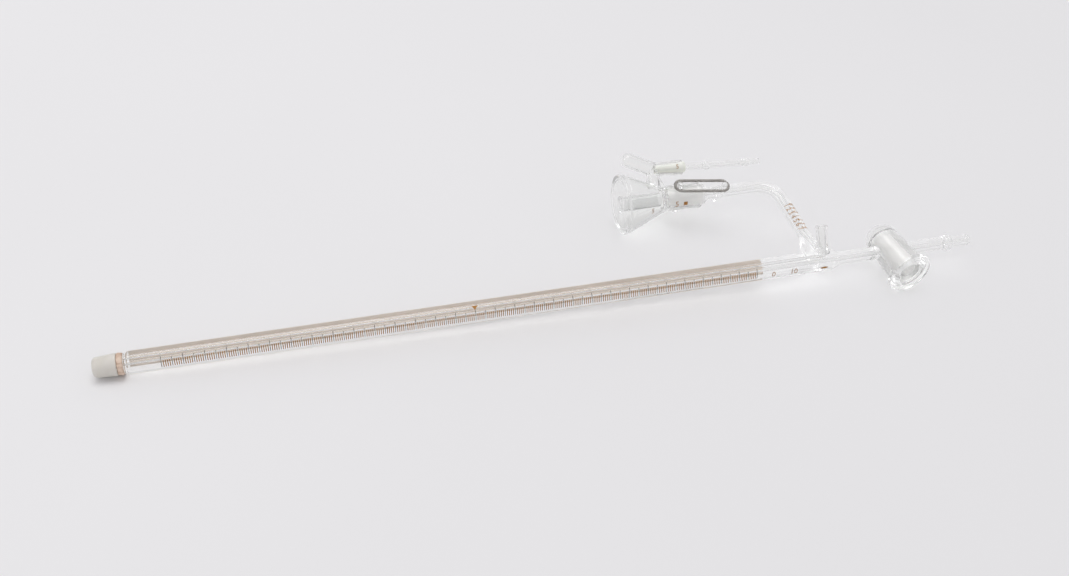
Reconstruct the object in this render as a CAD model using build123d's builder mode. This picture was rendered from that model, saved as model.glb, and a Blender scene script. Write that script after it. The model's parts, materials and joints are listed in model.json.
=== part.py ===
from build123d import *
from math import cos, radians, sin, tan
import os

# A compact glass gas manometer: a twin-bore scale body with an opal back, a stopcock and hose tube in
# line with it, a short open limb, and a capillary arm that carries a small reaction flask on a sprung
# ground joint. Millimetres. The glass frame has x along the body from the scale's zero towards the
# stopcock, y away from the operator, who faces the scale, and z up out of the glass's own plane.

os.makedirs("parts", exist_ok=True)

# ---- scale body --------------------------------------------------------------------------------------
scale_length = 300.0        # graduated length, from the zero mark
plain_below_zero = 15.0     # plain glass between the bottom seal and the zero mark
opal_past_scale = 6.0       # the opal back runs this far past the last mark
head_length = 39.0          # clear glass past the opal back, where the branches join
body_radius = 5.6
bore_radius = 0.8
open_bore_rise = 3.0        # the open limb's bore lies this far above the gas bore
opal_depth = 0.9
opal_span = 88.0            # degrees of the body's outline that the opal back takes
opal_turn = 6.0             # its middle is this far above the straight-away direction
cut_past = 1.0              # a cut runs this far past the face that it opens

# ---- bottom cone, seal and reservoir cap -------------------------------------------------------------
neck_length = 2.0           # clear neck under the body
neck_radius = 4.9
seal_length = 3.0
seal_radius = 5.5
seal_rounding = seal_length / 4
cone_top_radius = 4.3
cone_length = 12.0          # from the neck's lower end
cone_taper = 0.04           # radius lost per millimetre
cap_radius = 5.4
cap_length = 11.0
cap_end_wall = 1.1
cap_rounding = 1.6
cap_clearance = 0.05

# ---- stopcock ----------------------------------------------------------------------------------------
shoulder_length = 4.0       # cone from the body down to the link capillary
link_radius = 3.5
link_length = 19.0
barrel_wall = 3.5
barrel_front = 18.8         # the flange's face, in front of the body's axis
barrel_turn = 6.0           # degrees: the hand-set barrel is a little out of square
barrel_back = 9.0           # the ground length ends this far behind the axis
flange_radius = 12.0
flange_thickness = 2.6
flange_rounding = flange_thickness / 4
boss_stand_out = 0.5        # the tube bosses end this far outside the flange's radius
plug_front_radius = 6.5     # ground bore at the flange's face
plug_taper = 0.05
plug_clearance = 0.05
plug_wall = 1.2
plug_recess = 1.4           # the plug's end sits this far inside the flange
plug_tail_gap = 1.5
plug_head_depth = 1.6
dish_depth = 0.7
dish_edge_slope = 0.5       # how steeply the dish's floor comes up to its rim
cross_tube_radius = 2.2
dome_length = 7.9
dome_wall = 1.6

# ---- outlet tube -------------------------------------------------------------------------------------
outlet_length = 34.1        # from the barrel's boss to the tip
outlet_tip_radius = 3.0
olive_radius = 4.5
olive_length = 3.4
olive_to_tip = 11.0
mouth_bore_radius = 1.4
mouth_flare_length = 3.0

# ---- open limb ---------------------------------------------------------------------------------------
limb_setback = 4.8          # from the head's end to the limb's line
limb_angle = 57.0           # up from the straight-away direction
limb_reach = 19.0           # from the body's axis to its rim
limb_radius = 2.8
limb_rim_radius = 3.2
limb_rim_length = 1.2
limb_bore_radius = 1.6
limb_foot_radius = 3.6
limb_foot_length = 5.0

# ---- capillary arm -----------------------------------------------------------------------------------
arm_setback = 6.0           # from the head's end to the arm's line
arm_radius = 3.4
arm_bore_radius = 0.9
arm_offset = 65.0           # from the body's axis to the flask's axis
bend_radius = 12.0
foot_reach = 21.0           # the flared foot ends this far from the body's axis
foot_shift = 2.5            # the foot leans this far towards the scale at its root
foot_half_length = 8.0
foot_half_height = 4.6
foot_root = 3.0             # depth of the loft's start inside the body's outline

# ---- ground joint between arm and flask --------------------------------------------------------------
arm_run_length = 28.0       # straight capillary between the bend and the cone's shoulder
joint_length = 19.5
joint_mouth_radius = 5.5
joint_taper = 0.05
joint_clearance = 0.05
joint_bottom_gap = 2.0      # the cone's tip stays this far above the socket's bottom
cone_stand_out = 2.0        # ground cone showing outside the mouth
cone_shoulder = 3.5
cone_tip_bore = 1.6
cone_tip_flare = 4.0

# ---- flask -------------------------------------------------------------------------------------------
flask_height = 25.0         # base to the bottom of the socket
flask_radius = 16.9
flask_edge = 2.2            # height of the base's rim
base_rounding = 0.9 * flask_edge
flask_wall = 1.4
neck_flare = 1.0            # the inside closes in to the socket over this length
socket_radius = 7.15
lip_radius = 7.6
lip_length = 1.6
well_radius = 4.0
well_wall = 0.8
well_rounding = well_wall / 3
well_height = 21.5

# ---- flask's side arm and venting stopper ------------------------------------------------------------
side_angle = 45.0           # up from the straight-away direction, round the flask's axis
side_offset = 17.0          # knee's distance from the flask's axis
side_setback = 3.5          # the knee stands this far below the socket's bottom
side_lean = 2.2             # degrees: the socket closes in towards the flask's axis
bulb_lean = 27.0            # degrees: the bulb opens away from it
bulb_radius = 4.1
bulb_length = 19.0          # knee to closed end
bulb_wall = 1.0
link_tube_radius = 3.6
link_tube_bore = 2.5
side_socket_radius = 4.3
side_socket_length = 17.0
side_mouth_radius = 3.0
side_taper = 0.07
side_clearance = 0.05
stopper_stand_out = 1.8
stopper_tip_gap = 1.0
vent_length = 45.0
vent_radius = 1.9
vent_bore_radius = 0.7
vent_bead_radius = 2.7
vent_bead_length = 3.6
vent_bead_at = 11.0
vent_olive_radius = 2.8
vent_olive_length = 4.0
vent_tip_length = 6.0
vent_tip_radius = 1.6

# ---- hooks and spring --------------------------------------------------------------------------------
arm_hook_angle = 118.0      # up from the straight-away direction, so leaning towards the operator
flask_hook_angle = 94.0     # the flask is turned a little on its cone
hook_radius = 1.3
hook_tip_radius = 1.75
hook_tip_length = 1.0
hook_height = 3.6           # above the glass that it stands on
hook_sink = 0.8             # root fused into the tube's wall
flask_hook_setback = 12.5   # from the socket's mouth, over the flask
arm_hook_setback = 12.5     # from the socket's mouth, over the capillary
spring_strand_radius = 0.9
spring_gap = 0.35           # between a strand and the hook or socket
spring_half_width = 3.45

# ---- worked out --------------------------------------------------------------------------------------
body_start = -plain_below_zero
opal_end = scale_length + opal_past_scale
body_end = opal_end + head_length
body_length = body_end - body_start
neck_end = body_start - neck_length
seal_end = neck_end - seal_length
cone_end = neck_end - cone_length
cap_mouth = seal_end
cap_tip = cap_mouth - cap_length
link_start = body_end + shoulder_length
link_end = link_start + link_length
boss_reach = flange_radius + boss_stand_out
barrel_x = link_end + boss_reach
outlet_start = barrel_x + boss_reach
outlet_tip = outlet_start + outlet_length
limb_x = body_end - limb_setback
arm_x = body_end - arm_setback
bend_x = arm_x - bend_radius
bend_y = arm_offset - bend_radius
arm_run_end = bend_x - arm_run_length
cone_shoulder_x = arm_run_end - cone_shoulder
joint_mouth_x = cone_shoulder_x - cone_stand_out
joint_start = joint_mouth_x - joint_length
flask_top = joint_start - joint_bottom_gap
flask_base = flask_top - flask_height
side_knee_x = flask_top - side_setback
flask_hook_x = joint_mouth_x - flask_hook_setback
arm_hook_x = joint_mouth_x + arm_hook_setback

# The whole instrument lies on three points: the cap, the barrel's flange and the flask's rim. The
# glass plane rises by these slopes, so that each of the three touches z = 0.
rest_x = cap_tip + cap_rounding
flange_run = barrel_x - rest_x
flask_run = flask_base + flask_edge - rest_x
slope_along = (
    ((flange_radius - cap_radius) * arm_offset + (flask_radius - cap_radius) * barrel_front)
    / (flange_run * arm_offset + flask_run * barrel_front)
)
slope_away = (flask_radius - cap_radius - slope_along * flask_run) / arm_offset
middle_x = (cap_tip + outlet_tip) / 2
bulb_end_offset = side_offset + (bulb_length - bulb_radius) * sin(radians(bulb_lean))
bulb_end_y = arm_offset + bulb_end_offset * cos(radians(side_angle))
bulb_end_z = bulb_end_offset * sin(radians(side_angle))
far_edge = bulb_end_y * (1 - slope_away**2 / 2) - bulb_end_z * slope_away + bulb_radius
near_edge = barrel_front + flange_radius * slope_away
middle_y = (far_edge - near_edge) / 2
axis_height = cap_radius + slope_along * (middle_x - rest_x)
glass = Plane(
    origin=(0, -middle_y, axis_height),
    x_dir=(1, 0, slope_along),
    z_dir=(-slope_along, -slope_away, 1),
)


def at(x, y=0.0, z=0.0):
    """A plane parallel to the glass plane at a point of the glass frame."""
    spot = glass.from_local_coords(Vector(x - middle_x, y, z))
    return Plane(origin=spot, x_dir=glass.x_dir, z_dir=glass.z_dir)


def across(x, y=0.0, z=0.0):
    """A plane square to the body at a point of the glass frame: its x is away, its y is up."""
    spot = at(x, y, z)
    return Plane(origin=spot.origin, x_dir=spot.y_dir, z_dir=spot.x_dir)


def facing(x, y=0.0, z=0.0):
    """A plane square to the away direction: its normal points away, its x is along the body."""
    spot = at(x, y, z)
    return Plane(origin=spot.origin, x_dir=spot.x_dir, z_dir=spot.y_dir)


def bored(radius, bore):
    """An annulus in the open sketch."""
    Circle(radius)
    Circle(bore, mode=Mode.SUBTRACT)


def along(plane):
    return Axis(plane.origin, plane.x_dir)


def away(plane):
    return Axis(plane.origin, plane.y_dir)


# ---- scale body and opal back ------------------------------------------------------------------------
body_foot = across(body_start)

with BuildPart() as opal_back:
    with BuildSketch(body_foot):
        with BuildLine():
            start_angle = opal_turn - opal_span / 2
            outer = CenterArc((0, 0), body_radius, start_angle, opal_span)
            inner = CenterArc((0, 0), body_radius - opal_depth, start_angle, opal_span)
            Line(outer @ 0, inner @ 0)
            Line(outer @ 1, inner @ 1)
        make_face()
    extrude(amount=opal_end - body_start)
opal_back.part.label = "opal_back"
export_step(opal_back.part, "parts/opal_back.step")

with BuildPart() as scale_body:
    with BuildSketch(body_foot):
        Circle(body_radius)
        Circle(bore_radius, mode=Mode.SUBTRACT)
        with Locations((0, open_bore_rise)):
            Circle(bore_radius, mode=Mode.SUBTRACT)
    extrude(amount=body_length - head_length)
    add(opal_back.part, mode=Mode.SUBTRACT)
scale_body.part.label = "scale_body"
export_step(scale_body.part, "parts/scale_body.step")

# the head: clear solid glass, where the gas bore meets the arm and the open bore meets the open limb
limb_line = Plane(
    origin=at(limb_x).origin,
    x_dir=glass.x_dir,
    z_dir=glass.y_dir * cos(radians(limb_angle)) + glass.z_dir * sin(radians(limb_angle)),
)

with BuildPart() as body_head:
    with BuildSketch(across(opal_end)):
        bored(body_radius, bore_radius)
    extrude(amount=head_length)
    with BuildSketch(across(opal_end, 0, open_bore_rise)):
        Circle(bore_radius)
    extrude(amount=limb_x - opal_end, mode=Mode.SUBTRACT)
    with BuildSketch(limb_line.offset(open_bore_rise * sin(radians(limb_angle)))):
        Circle(limb_bore_radius)
    extrude(amount=body_radius, mode=Mode.SUBTRACT)
    with BuildSketch(facing(arm_x)):
        Circle(arm_bore_radius)
    extrude(amount=body_radius + cut_past, mode=Mode.SUBTRACT)
body_head.part.label = "body_head"
export_step(body_head.part, "parts/body_head.step")

# ---- bottom cone, seal and cap -----------------------------------------------------------------------
with BuildPart() as bottom_cone:
    with BuildSketch(at(body_start)):
        with BuildLine():
            Polyline(
                (0, 0),
                (0, neck_radius),
                (-neck_length, neck_radius),
                (-neck_length, cone_top_radius),
                (-neck_length - seal_length, cone_top_radius),
                (-neck_length - cone_length, cone_top_radius - cone_taper * (cone_length - seal_length)),
                (-neck_length - cone_length, 0),
                close=True,
            )
        make_face()
    revolve(axis=along(at(body_start)))
    with BuildSketch(across(cone_end)):
        Circle(bore_radius)
        with Locations((0, open_bore_rise)):
            Circle(bore_radius)
    extrude(amount=neck_length + cone_length, mode=Mode.SUBTRACT)
bottom_cone.part.label = "bottom_cone"
export_step(bottom_cone.part, "parts/bottom_cone.step")

with BuildPart() as cap_seal:
    with BuildSketch(across(seal_end)):
        bored(seal_radius, cone_top_radius)
    extrude(amount=seal_length)
    fillet(cap_seal.edges().filter_by(GeomType.CIRCLE).group_by(SortBy.RADIUS)[-1], seal_rounding)
cap_seal.part.label = "cap_seal"
export_step(cap_seal.part, "parts/cap_seal.step")

cap_depth = cap_length - cap_end_wall
with BuildPart() as reservoir_cap:
    with BuildSketch(across(cap_tip)):
        Circle(cap_radius)
    extrude(amount=cap_length)
    fillet(reservoir_cap.edges().sort_by(along(at(cap_tip)))[0], cap_rounding)
    with BuildSketch(at(cap_mouth)):
        with BuildLine():
            Polyline(
                (0, 0),
                (0, cone_top_radius + cap_clearance),
                (-cap_depth, cone_top_radius + cap_clearance - cone_taper * cap_depth),
                (-cap_depth, 0),
                close=True,
            )
        make_face()
    revolve(axis=along(at(cap_mouth)), mode=Mode.SUBTRACT)
reservoir_cap.part.label = "reservoir_cap"
export_step(reservoir_cap.part, "parts/reservoir_cap.step")

# ---- shoulder and link capillary ---------------------------------------------------------------------
with BuildPart() as link_capillary:
    with BuildSketch(at(body_end)):
        with BuildLine():
            Polyline(
                (0, bore_radius),
                (0, body_radius),
                (shoulder_length, link_radius),
                (shoulder_length + link_length, link_radius),
                (shoulder_length + link_length, bore_radius),
                close=True,
            )
        make_face()
    revolve(axis=along(at(body_end)))
link_capillary.part.label = "link_capillary"
export_step(link_capillary.part, "parts/link_capillary.step")

# ---- stopcock ----------------------------------------------------------------------------------------
cock = at(barrel_x).rotated((0, 0, barrel_turn))
cock_axis = away(cock)
ground_length = barrel_front + barrel_back
plug_back_radius = plug_front_radius - plug_taper * ground_length
barrel_back_radius = plug_back_radius + barrel_wall
barrel_front_radius = plug_front_radius + barrel_wall - plug_taper * flange_thickness

with BuildPart() as stopcock_barrel:
    with BuildSketch(cock):
        with BuildLine():
            Polyline(
                (0, -barrel_front),
                (flange_radius, -barrel_front),
                (flange_radius, flange_thickness - barrel_front),
                (barrel_front_radius, flange_thickness - barrel_front),
                (barrel_back_radius, barrel_back),
                (0, barrel_back),
                close=True,
            )
        make_face()
    revolve(axis=cock_axis)
    fillet(
        stopcock_barrel.edges().filter_by(GeomType.CIRCLE).group_by(SortBy.RADIUS)[-1],
        flange_rounding,
    )
    with BuildSketch(across(link_end)):
        Circle(link_radius)
    extrude(amount=2 * boss_reach)
    with BuildSketch(cock):
        with BuildLine():
            Polyline(
                (0, -barrel_front - cut_past),
                (plug_front_radius + plug_taper * cut_past, -barrel_front - cut_past),
                (plug_back_radius, barrel_back),
                (0, barrel_back),
                close=True,
            )
        make_face()
    revolve(axis=cock_axis, mode=Mode.SUBTRACT)
    with BuildSketch(across(link_end)):
        Circle(bore_radius)
    extrude(amount=2 * boss_reach, mode=Mode.SUBTRACT)
stopcock_barrel.part.label = "stopcock_barrel"
export_step(stopcock_barrel.part, "parts/stopcock_barrel.step")

dome_root = cock.origin + cock.y_dir * barrel_back
with BuildPart() as barrel_dome:
    with BuildSketch(Plane(origin=dome_root, x_dir=cock.x_dir, z_dir=cock.z_dir)):
        with BuildLine():
            dome_outer = Spline((barrel_back_radius, 0), (0, dome_length), tangents=((0, 1), (-1, 0)))
            dome_inner = Spline(
                (barrel_back_radius - dome_wall, 0),
                (0, dome_length - dome_wall),
                tangents=((0, 1), (-1, 0)),
            )
            Line(dome_outer @ 0, dome_inner @ 0)
            Line(dome_outer @ 1, dome_inner @ 1)
        make_face()
    revolve(axis=cock_axis)
barrel_dome.part.label = "barrel_dome"
export_step(barrel_dome.part, "parts/barrel_dome.step")

plug_face = plug_recess - barrel_front
plug_tail = barrel_back - plug_tail_gap


def plug_radius(y):
    """The plug's outer radius where it stands y behind the body's axis."""
    return plug_front_radius - plug_clearance - plug_taper * (y + barrel_front)


with BuildPart() as plug_solid:
    with BuildSketch(cock):
        with BuildLine():
            Polyline(
                (0, plug_face),
                (plug_radius(plug_face), plug_face),
                (plug_radius(plug_tail), plug_tail),
                (0, plug_tail),
                close=True,
            )
        make_face()
    revolve(axis=cock_axis)

with BuildPart() as cross_tube:
    with BuildSketch(across(link_end)):
        bored(cross_tube_radius, bore_radius)
    extrude(amount=2 * boss_reach)
    add(plug_solid.part, mode=Mode.INTERSECT)
cross_tube.part.label = "cross_tube"
export_step(cross_tube.part, "parts/cross_tube.step")

plug_floor = plug_tail - plug_wall
with BuildPart() as stopcock_plug:
    add(plug_solid.part)
    with BuildSketch(cock):
        with BuildLine():
            Polyline(
                (0, plug_face),
                (plug_radius(plug_face) - plug_wall, plug_face),
                (plug_radius(plug_floor) - plug_wall, plug_floor),
                (0, plug_floor),
                close=True,
            )
        make_face()
    revolve(axis=cock_axis, mode=Mode.SUBTRACT)
    with BuildSketch(across(link_end)):
        Circle(cross_tube_radius)
    extrude(amount=2 * boss_reach, mode=Mode.SUBTRACT)
stopcock_plug.part.label = "stopcock_plug"
export_step(stopcock_plug.part, "parts/stopcock_plug.step")

head_back = plug_face + plug_head_depth
with BuildPart() as plug_head:
    with BuildSketch(cock):
        with BuildLine():
            rim = Line(
                (plug_radius(plug_face) - plug_wall, plug_face),
                (plug_radius(head_back) - plug_wall, head_back),
            )
            back = Line(rim @ 1, (0, head_back))
            stem = Line(back @ 1, (0, plug_face + dish_depth))
            Spline(stem @ 1, rim @ 0, tangents=((1, 0), (1, -dish_edge_slope)))
        make_face()
    revolve(axis=cock_axis)
plug_head.part.label = "plug_head"
export_step(plug_head.part, "parts/plug_head.step")

# ---- outlet tube -------------------------------------------------------------------------------------
olive_end = outlet_length - olive_to_tip
olive_start = olive_end - olive_length
outlet = at(outlet_start)

with BuildPart() as outlet_tube:
    with BuildSketch(outlet):
        with BuildLine():
            Polyline((0, bore_radius), (0, link_radius), (olive_start, link_radius))
            ThreePointArc(
                (olive_start, link_radius),
                (olive_start + olive_length / 2, olive_radius),
                (olive_end, outlet_tip_radius),
            )
            Polyline(
                (olive_end, outlet_tip_radius),
                (outlet_length, outlet_tip_radius),
                (outlet_length, mouth_bore_radius),
                (outlet_length - mouth_flare_length, bore_radius),
                (0, bore_radius),
            )
        make_face()
    revolve(axis=along(outlet))
outlet_tube.part.label = "outlet_tube"
export_step(outlet_tube.part, "parts/outlet_tube.step")

# ---- open limb ---------------------------------------------------------------------------------------
limb_section = Plane(origin=limb_line.origin, x_dir=limb_line.z_dir, z_dir=limb_line.y_dir)

with BuildPart() as open_limb:
    with BuildSketch(limb_section):
        with BuildLine():
            Polyline(
                (0, 0),
                (0, limb_foot_radius),
                (body_radius, limb_foot_radius),
                (body_radius + limb_foot_length, limb_radius),
                (limb_reach - limb_rim_length, limb_radius),
                (limb_reach - limb_rim_length, limb_rim_radius),
                (limb_reach, limb_rim_radius),
                (limb_reach, 0),
                close=True,
            )
        make_face()
    revolve(axis=along(limb_section))
    with BuildSketch(across(opal_end)):
        Circle(body_radius)
    extrude(amount=head_length, mode=Mode.SUBTRACT)
    with BuildSketch(limb_line):
        Circle(limb_bore_radius)
    extrude(amount=limb_reach, mode=Mode.SUBTRACT)
open_limb.part.label = "open_limb"
export_step(open_limb.part, "parts/open_limb.step")

# ---- capillary arm -----------------------------------------------------------------------------------
with BuildPart() as arm_foot:
    with BuildSketch(facing(arm_x - foot_shift, foot_root)):
        Ellipse(foot_half_length, foot_half_height)
    with BuildSketch(facing(arm_x, foot_reach)):
        Circle(arm_radius)
    loft()
    with BuildSketch(across(opal_end)):
        Circle(body_radius)
    extrude(amount=head_length, mode=Mode.SUBTRACT)
    add(open_limb.part, mode=Mode.SUBTRACT)
    with BuildSketch(facing(arm_x)):
        Circle(arm_bore_radius)
    extrude(amount=foot_reach, mode=Mode.SUBTRACT)
    with BuildSketch(limb_line):
        Circle(limb_bore_radius)
    extrude(amount=limb_reach, mode=Mode.SUBTRACT)
arm_foot.part.label = "arm_foot"
export_step(arm_foot.part, "parts/arm_foot.step")

with BuildPart() as arm_capillary:
    with BuildSketch(facing(arm_x, foot_reach)):
        bored(arm_radius, arm_bore_radius)
    extrude(amount=bend_y - foot_reach)
arm_capillary.part.label = "arm_capillary"
export_step(arm_capillary.part, "parts/arm_capillary.step")

with BuildPart() as arm_bend:
    with BuildSketch(facing(arm_x, bend_y)):
        bored(arm_radius, arm_bore_radius)
    revolve(axis=Axis(at(bend_x, bend_y).origin, glass.z_dir), revolution_arc=90)
arm_bend.part.label = "arm_bend"
export_step(arm_bend.part, "parts/arm_bend.step")

with BuildPart() as arm_run:
    with BuildSketch(across(arm_run_end, arm_offset)):
        bored(arm_radius, arm_bore_radius)
    extrude(amount=bend_x - arm_run_end)
arm_run.part.label = "arm_run"
export_step(arm_run.part, "parts/arm_run.step")

# ---- ground joint ------------------------------------------------------------------------------------
flask_axis = along(at(joint_mouth_x, arm_offset))


def joint_radius(x):
    return joint_mouth_radius - joint_taper * (joint_mouth_x - x)


with BuildPart() as male_cone:
    with BuildSketch(at(0, arm_offset)):
        with BuildLine():
            Polyline(
                (joint_start, cone_tip_bore),
                (joint_start, joint_radius(joint_start)),
                (cone_shoulder_x, joint_radius(cone_shoulder_x)),
                (arm_run_end, arm_radius),
                (arm_run_end, arm_bore_radius),
                (joint_start + cone_tip_flare, arm_bore_radius),
                close=True,
            )
        make_face()
    revolve(axis=flask_axis)
male_cone.part.label = "male_cone"
export_step(male_cone.part, "parts/male_cone.step")

socket_bottom_radius = joint_radius(joint_start) + joint_clearance
with BuildPart() as flask_socket:
    with BuildSketch(at(0, arm_offset)):
        with BuildLine():
            Polyline(
                (flask_top, socket_bottom_radius),
                (flask_top, socket_radius),
                (joint_mouth_x - lip_length, socket_radius),
                (joint_mouth_x - lip_length / 2, lip_radius),
                (joint_mouth_x, socket_radius),
                (joint_mouth_x, joint_mouth_radius + joint_clearance),
                (joint_start, socket_bottom_radius),
                close=True,
            )
        make_face()
    revolve(axis=flask_axis)
flask_socket.part.label = "flask_socket"
export_step(flask_socket.part, "parts/flask_socket.step")

# ---- flask -------------------------------------------------------------------------------------------
flask_slope = (socket_radius - flask_radius) / (flask_height - flask_edge)
wall_along = flask_wall * (1 + flask_slope**2) ** 0.5


def flask_inside(height):
    return flask_radius + flask_slope * (height - flask_edge) - wall_along


side = Plane(
    origin=at(side_knee_x, arm_offset).origin,
    x_dir=glass.x_dir,
    z_dir=glass.z_dir * cos(radians(side_angle)) - glass.y_dir * sin(radians(side_angle)),
)
knee = side.origin + side.y_dir * side_offset
bulb_way = side.y_dir * sin(radians(bulb_lean)) - side.x_dir * cos(radians(bulb_lean))
socket_way = side.x_dir * cos(radians(side_lean)) - side.y_dir * sin(radians(side_lean))
bulb_line = Plane(origin=knee, x_dir=bulb_way, z_dir=side.z_dir)
socket_line = Plane(origin=knee, x_dir=socket_way, z_dir=side.z_dir)
outward = Plane(origin=side.origin, x_dir=side.x_dir, z_dir=side.y_dir)
past_knee = Plane(origin=knee, x_dir=side.z_dir, z_dir=side.x_dir)
before_knee = Plane(origin=knee, x_dir=side.z_dir, z_dir=-side.x_dir)
knee_block = 4 * bulb_radius  # takes off all that lies past the knee's plane


def round_ended(start, end, radius):
    """Half the outline of a rod along the line's x axis, flat at its start and round at its end."""
    Polyline((end, 0), (start, 0), (start, radius), (end - radius, radius))
    CenterArc((end - radius, 0), radius, 0, 90)


with BuildPart() as side_void:
    with BuildSketch(bulb_line):
        with BuildLine():
            round_ended(0, bulb_length - bulb_wall, bulb_radius - bulb_wall)
        make_face()
    revolve(axis=along(bulb_line))
    with BuildSketch(socket_line):
        with BuildLine():
            Polyline(
                (0, 0),
                (0, side_mouth_radius + side_clearance - side_taper * side_socket_length),
                (side_socket_length, side_mouth_radius + side_clearance),
                (side_socket_length, 0),
                close=True,
            )
        make_face()
    revolve(axis=along(socket_line))
    with BuildSketch(outward.offset(side_offset)):
        Circle(link_tube_bore)
    extrude(amount=socket_bottom_radius - side_offset)
    with Locations(knee):
        Sphere(link_tube_bore)

with BuildPart() as side_bulb:
    with BuildSketch(bulb_line):
        with BuildLine():
            round_ended(-bulb_radius, bulb_length, bulb_radius)
        make_face()
    revolve(axis=along(bulb_line))
    with BuildSketch(past_knee):
        Rectangle(knee_block, knee_block)
    extrude(amount=knee_block, mode=Mode.SUBTRACT)
    add(side_void.part, mode=Mode.SUBTRACT)
side_bulb.part.label = "side_bulb"
export_step(side_bulb.part, "parts/side_bulb.step")

with BuildPart() as side_socket:
    with BuildSketch(Plane(origin=knee - socket_way * bulb_radius, x_dir=side.z_dir, z_dir=socket_way)):
        Circle(side_socket_radius)
    extrude(amount=bulb_radius + side_socket_length)
    with BuildSketch(before_knee):
        Rectangle(knee_block, knee_block)
    extrude(amount=knee_block, mode=Mode.SUBTRACT)
    add(side_void.part, mode=Mode.SUBTRACT)
side_socket.part.label = "side_socket"
export_step(side_socket.part, "parts/side_socket.step")

with BuildPart() as side_link:
    with BuildSketch(outward):
        Circle(link_tube_radius)
    extrude(amount=side_offset)
    with BuildSketch(at(flask_base, arm_offset)):
        with BuildLine():
            Polyline(
                (flask_edge, 0),
                (flask_edge, flask_radius),
                (flask_height, socket_radius),
                (flask_height + lip_radius, socket_radius),
                (flask_height + lip_radius, 0),
                close=True,
            )
        make_face()
    revolve(axis=flask_axis, mode=Mode.SUBTRACT)
    add(side_bulb.part, mode=Mode.SUBTRACT)
    add(side_socket.part, mode=Mode.SUBTRACT)
    add(side_void.part, mode=Mode.SUBTRACT)
side_link.part.label = "side_link"
export_step(side_link.part, "parts/side_link.step")

with BuildPart() as flask_body:
    with BuildSketch(at(flask_base, arm_offset)):
        with BuildLine():
            Polyline(
                (0, 0),
                (0, flask_radius),
                (flask_edge, flask_radius),
                (flask_height, socket_radius),
                (flask_height, 0),
                close=True,
            )
        make_face()
    revolve(axis=flask_axis)
    fillet(flask_body.edges().sort_by(flask_axis)[0], base_rounding)
    with BuildSketch(at(flask_base, arm_offset)):
        with BuildLine():
            Polyline(
                (flask_wall, 0),
                (flask_wall, flask_radius - flask_edge),
                (flask_edge + flask_wall, flask_inside(flask_edge + flask_wall)),
                (flask_height - neck_flare, flask_inside(flask_height - neck_flare)),
                (flask_height, socket_bottom_radius),
                (flask_height, 0),
                close=True,
            )
        make_face()
    revolve(axis=flask_axis, mode=Mode.SUBTRACT)
    add(side_void.part, mode=Mode.SUBTRACT)
flask_body.part.label = "flask_body"
export_step(flask_body.part, "parts/flask_body.step")

with BuildPart() as centre_well:
    with BuildSketch(across(flask_base + flask_wall, arm_offset)):
        bored(well_radius, well_radius - well_wall)
    extrude(amount=well_height)
    fillet(centre_well.edges().sort_by(flask_axis)[-2:], well_rounding)
centre_well.part.label = "centre_well"
export_step(centre_well.part, "parts/centre_well.step")

# ---- venting stopper ---------------------------------------------------------------------------------
stopper_tip = stopper_tip_gap
stopper_end = side_socket_length + stopper_stand_out

with BuildPart() as stopper_cone:
    with BuildSketch(socket_line):
        with BuildLine():
            Polyline(
                (stopper_tip, vent_bore_radius),
                (stopper_tip, side_mouth_radius - side_taper * (side_socket_length - stopper_tip)),
                (stopper_end, side_mouth_radius + side_taper * stopper_stand_out),
                (stopper_end, vent_bore_radius),
                close=True,
            )
        make_face()
    revolve(axis=along(socket_line))
stopper_cone.part.label = "stopper_cone"
export_step(stopper_cone.part, "parts/stopper_cone.step")

bead_start = stopper_end + vent_bead_at
vent_tip = stopper_end + vent_length
vent_olive_end = vent_tip - vent_tip_length
vent_olive_start = vent_olive_end - vent_olive_length

with BuildPart() as vent_tube:
    with BuildSketch(socket_line):
        with BuildLine():
            Polyline((stopper_end, vent_bore_radius), (stopper_end, vent_radius), (bead_start, vent_radius))
            ThreePointArc(
                (bead_start, vent_radius),
                (bead_start + vent_bead_length / 2, vent_bead_radius),
                (bead_start + vent_bead_length, vent_radius),
            )
            Line((bead_start + vent_bead_length, vent_radius), (vent_olive_start, vent_radius))
            ThreePointArc(
                (vent_olive_start, vent_radius),
                (vent_olive_start + vent_olive_length / 2, vent_olive_radius),
                (vent_olive_end, vent_tip_radius),
            )
            Polyline(
                (vent_olive_end, vent_tip_radius),
                (vent_tip, vent_tip_radius),
                (vent_tip, vent_bore_radius),
                (stopper_end, vent_bore_radius),
            )
        make_face()
    revolve(axis=along(socket_line))
vent_tube.part.label = "vent_tube"
export_step(vent_tube.part, "parts/vent_tube.step")


# ---- hooks -------------------------------------------------------------------------------------------
def outwards(angle):
    return glass.y_dir * cos(radians(angle)) + glass.z_dir * sin(radians(angle))


def horn_planes(x, surface, first_angle):
    """The two opposite planes on which a pair of glass horns stands, normals outwards."""
    spots = []
    for angle in (first_angle, first_angle + 180):
        out = outwards(angle)
        root = at(x, arm_offset).origin + out * (surface - hook_sink)
        spots.append(Plane(origin=root, x_dir=glass.x_dir, z_dir=out))
    return spots


for hook_name, hook_x, surface, hook_angle in (
    ("flask_hooks", flask_hook_x, socket_radius, flask_hook_angle),
    ("arm_hooks", arm_hook_x, arm_radius, arm_hook_angle),
):
    reach = socket_radius + hook_height - surface
    with BuildPart() as hooks:
        for spot in horn_planes(hook_x, surface, hook_angle):
            with BuildSketch(spot):
                Circle(hook_radius)
            extrude(amount=reach + hook_sink)
            with BuildSketch(spot.offset(reach + hook_sink)):
                Circle(hook_tip_radius)
            extrude(amount=-hook_tip_length)
        with BuildSketch(across(hook_x - 2 * hook_radius, arm_offset)):
            Circle(surface)
        extrude(amount=4 * hook_radius, mode=Mode.SUBTRACT)
    hooks.part.label = hook_name
    export_step(hooks.part, f"parts/{hook_name}.step")

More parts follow.
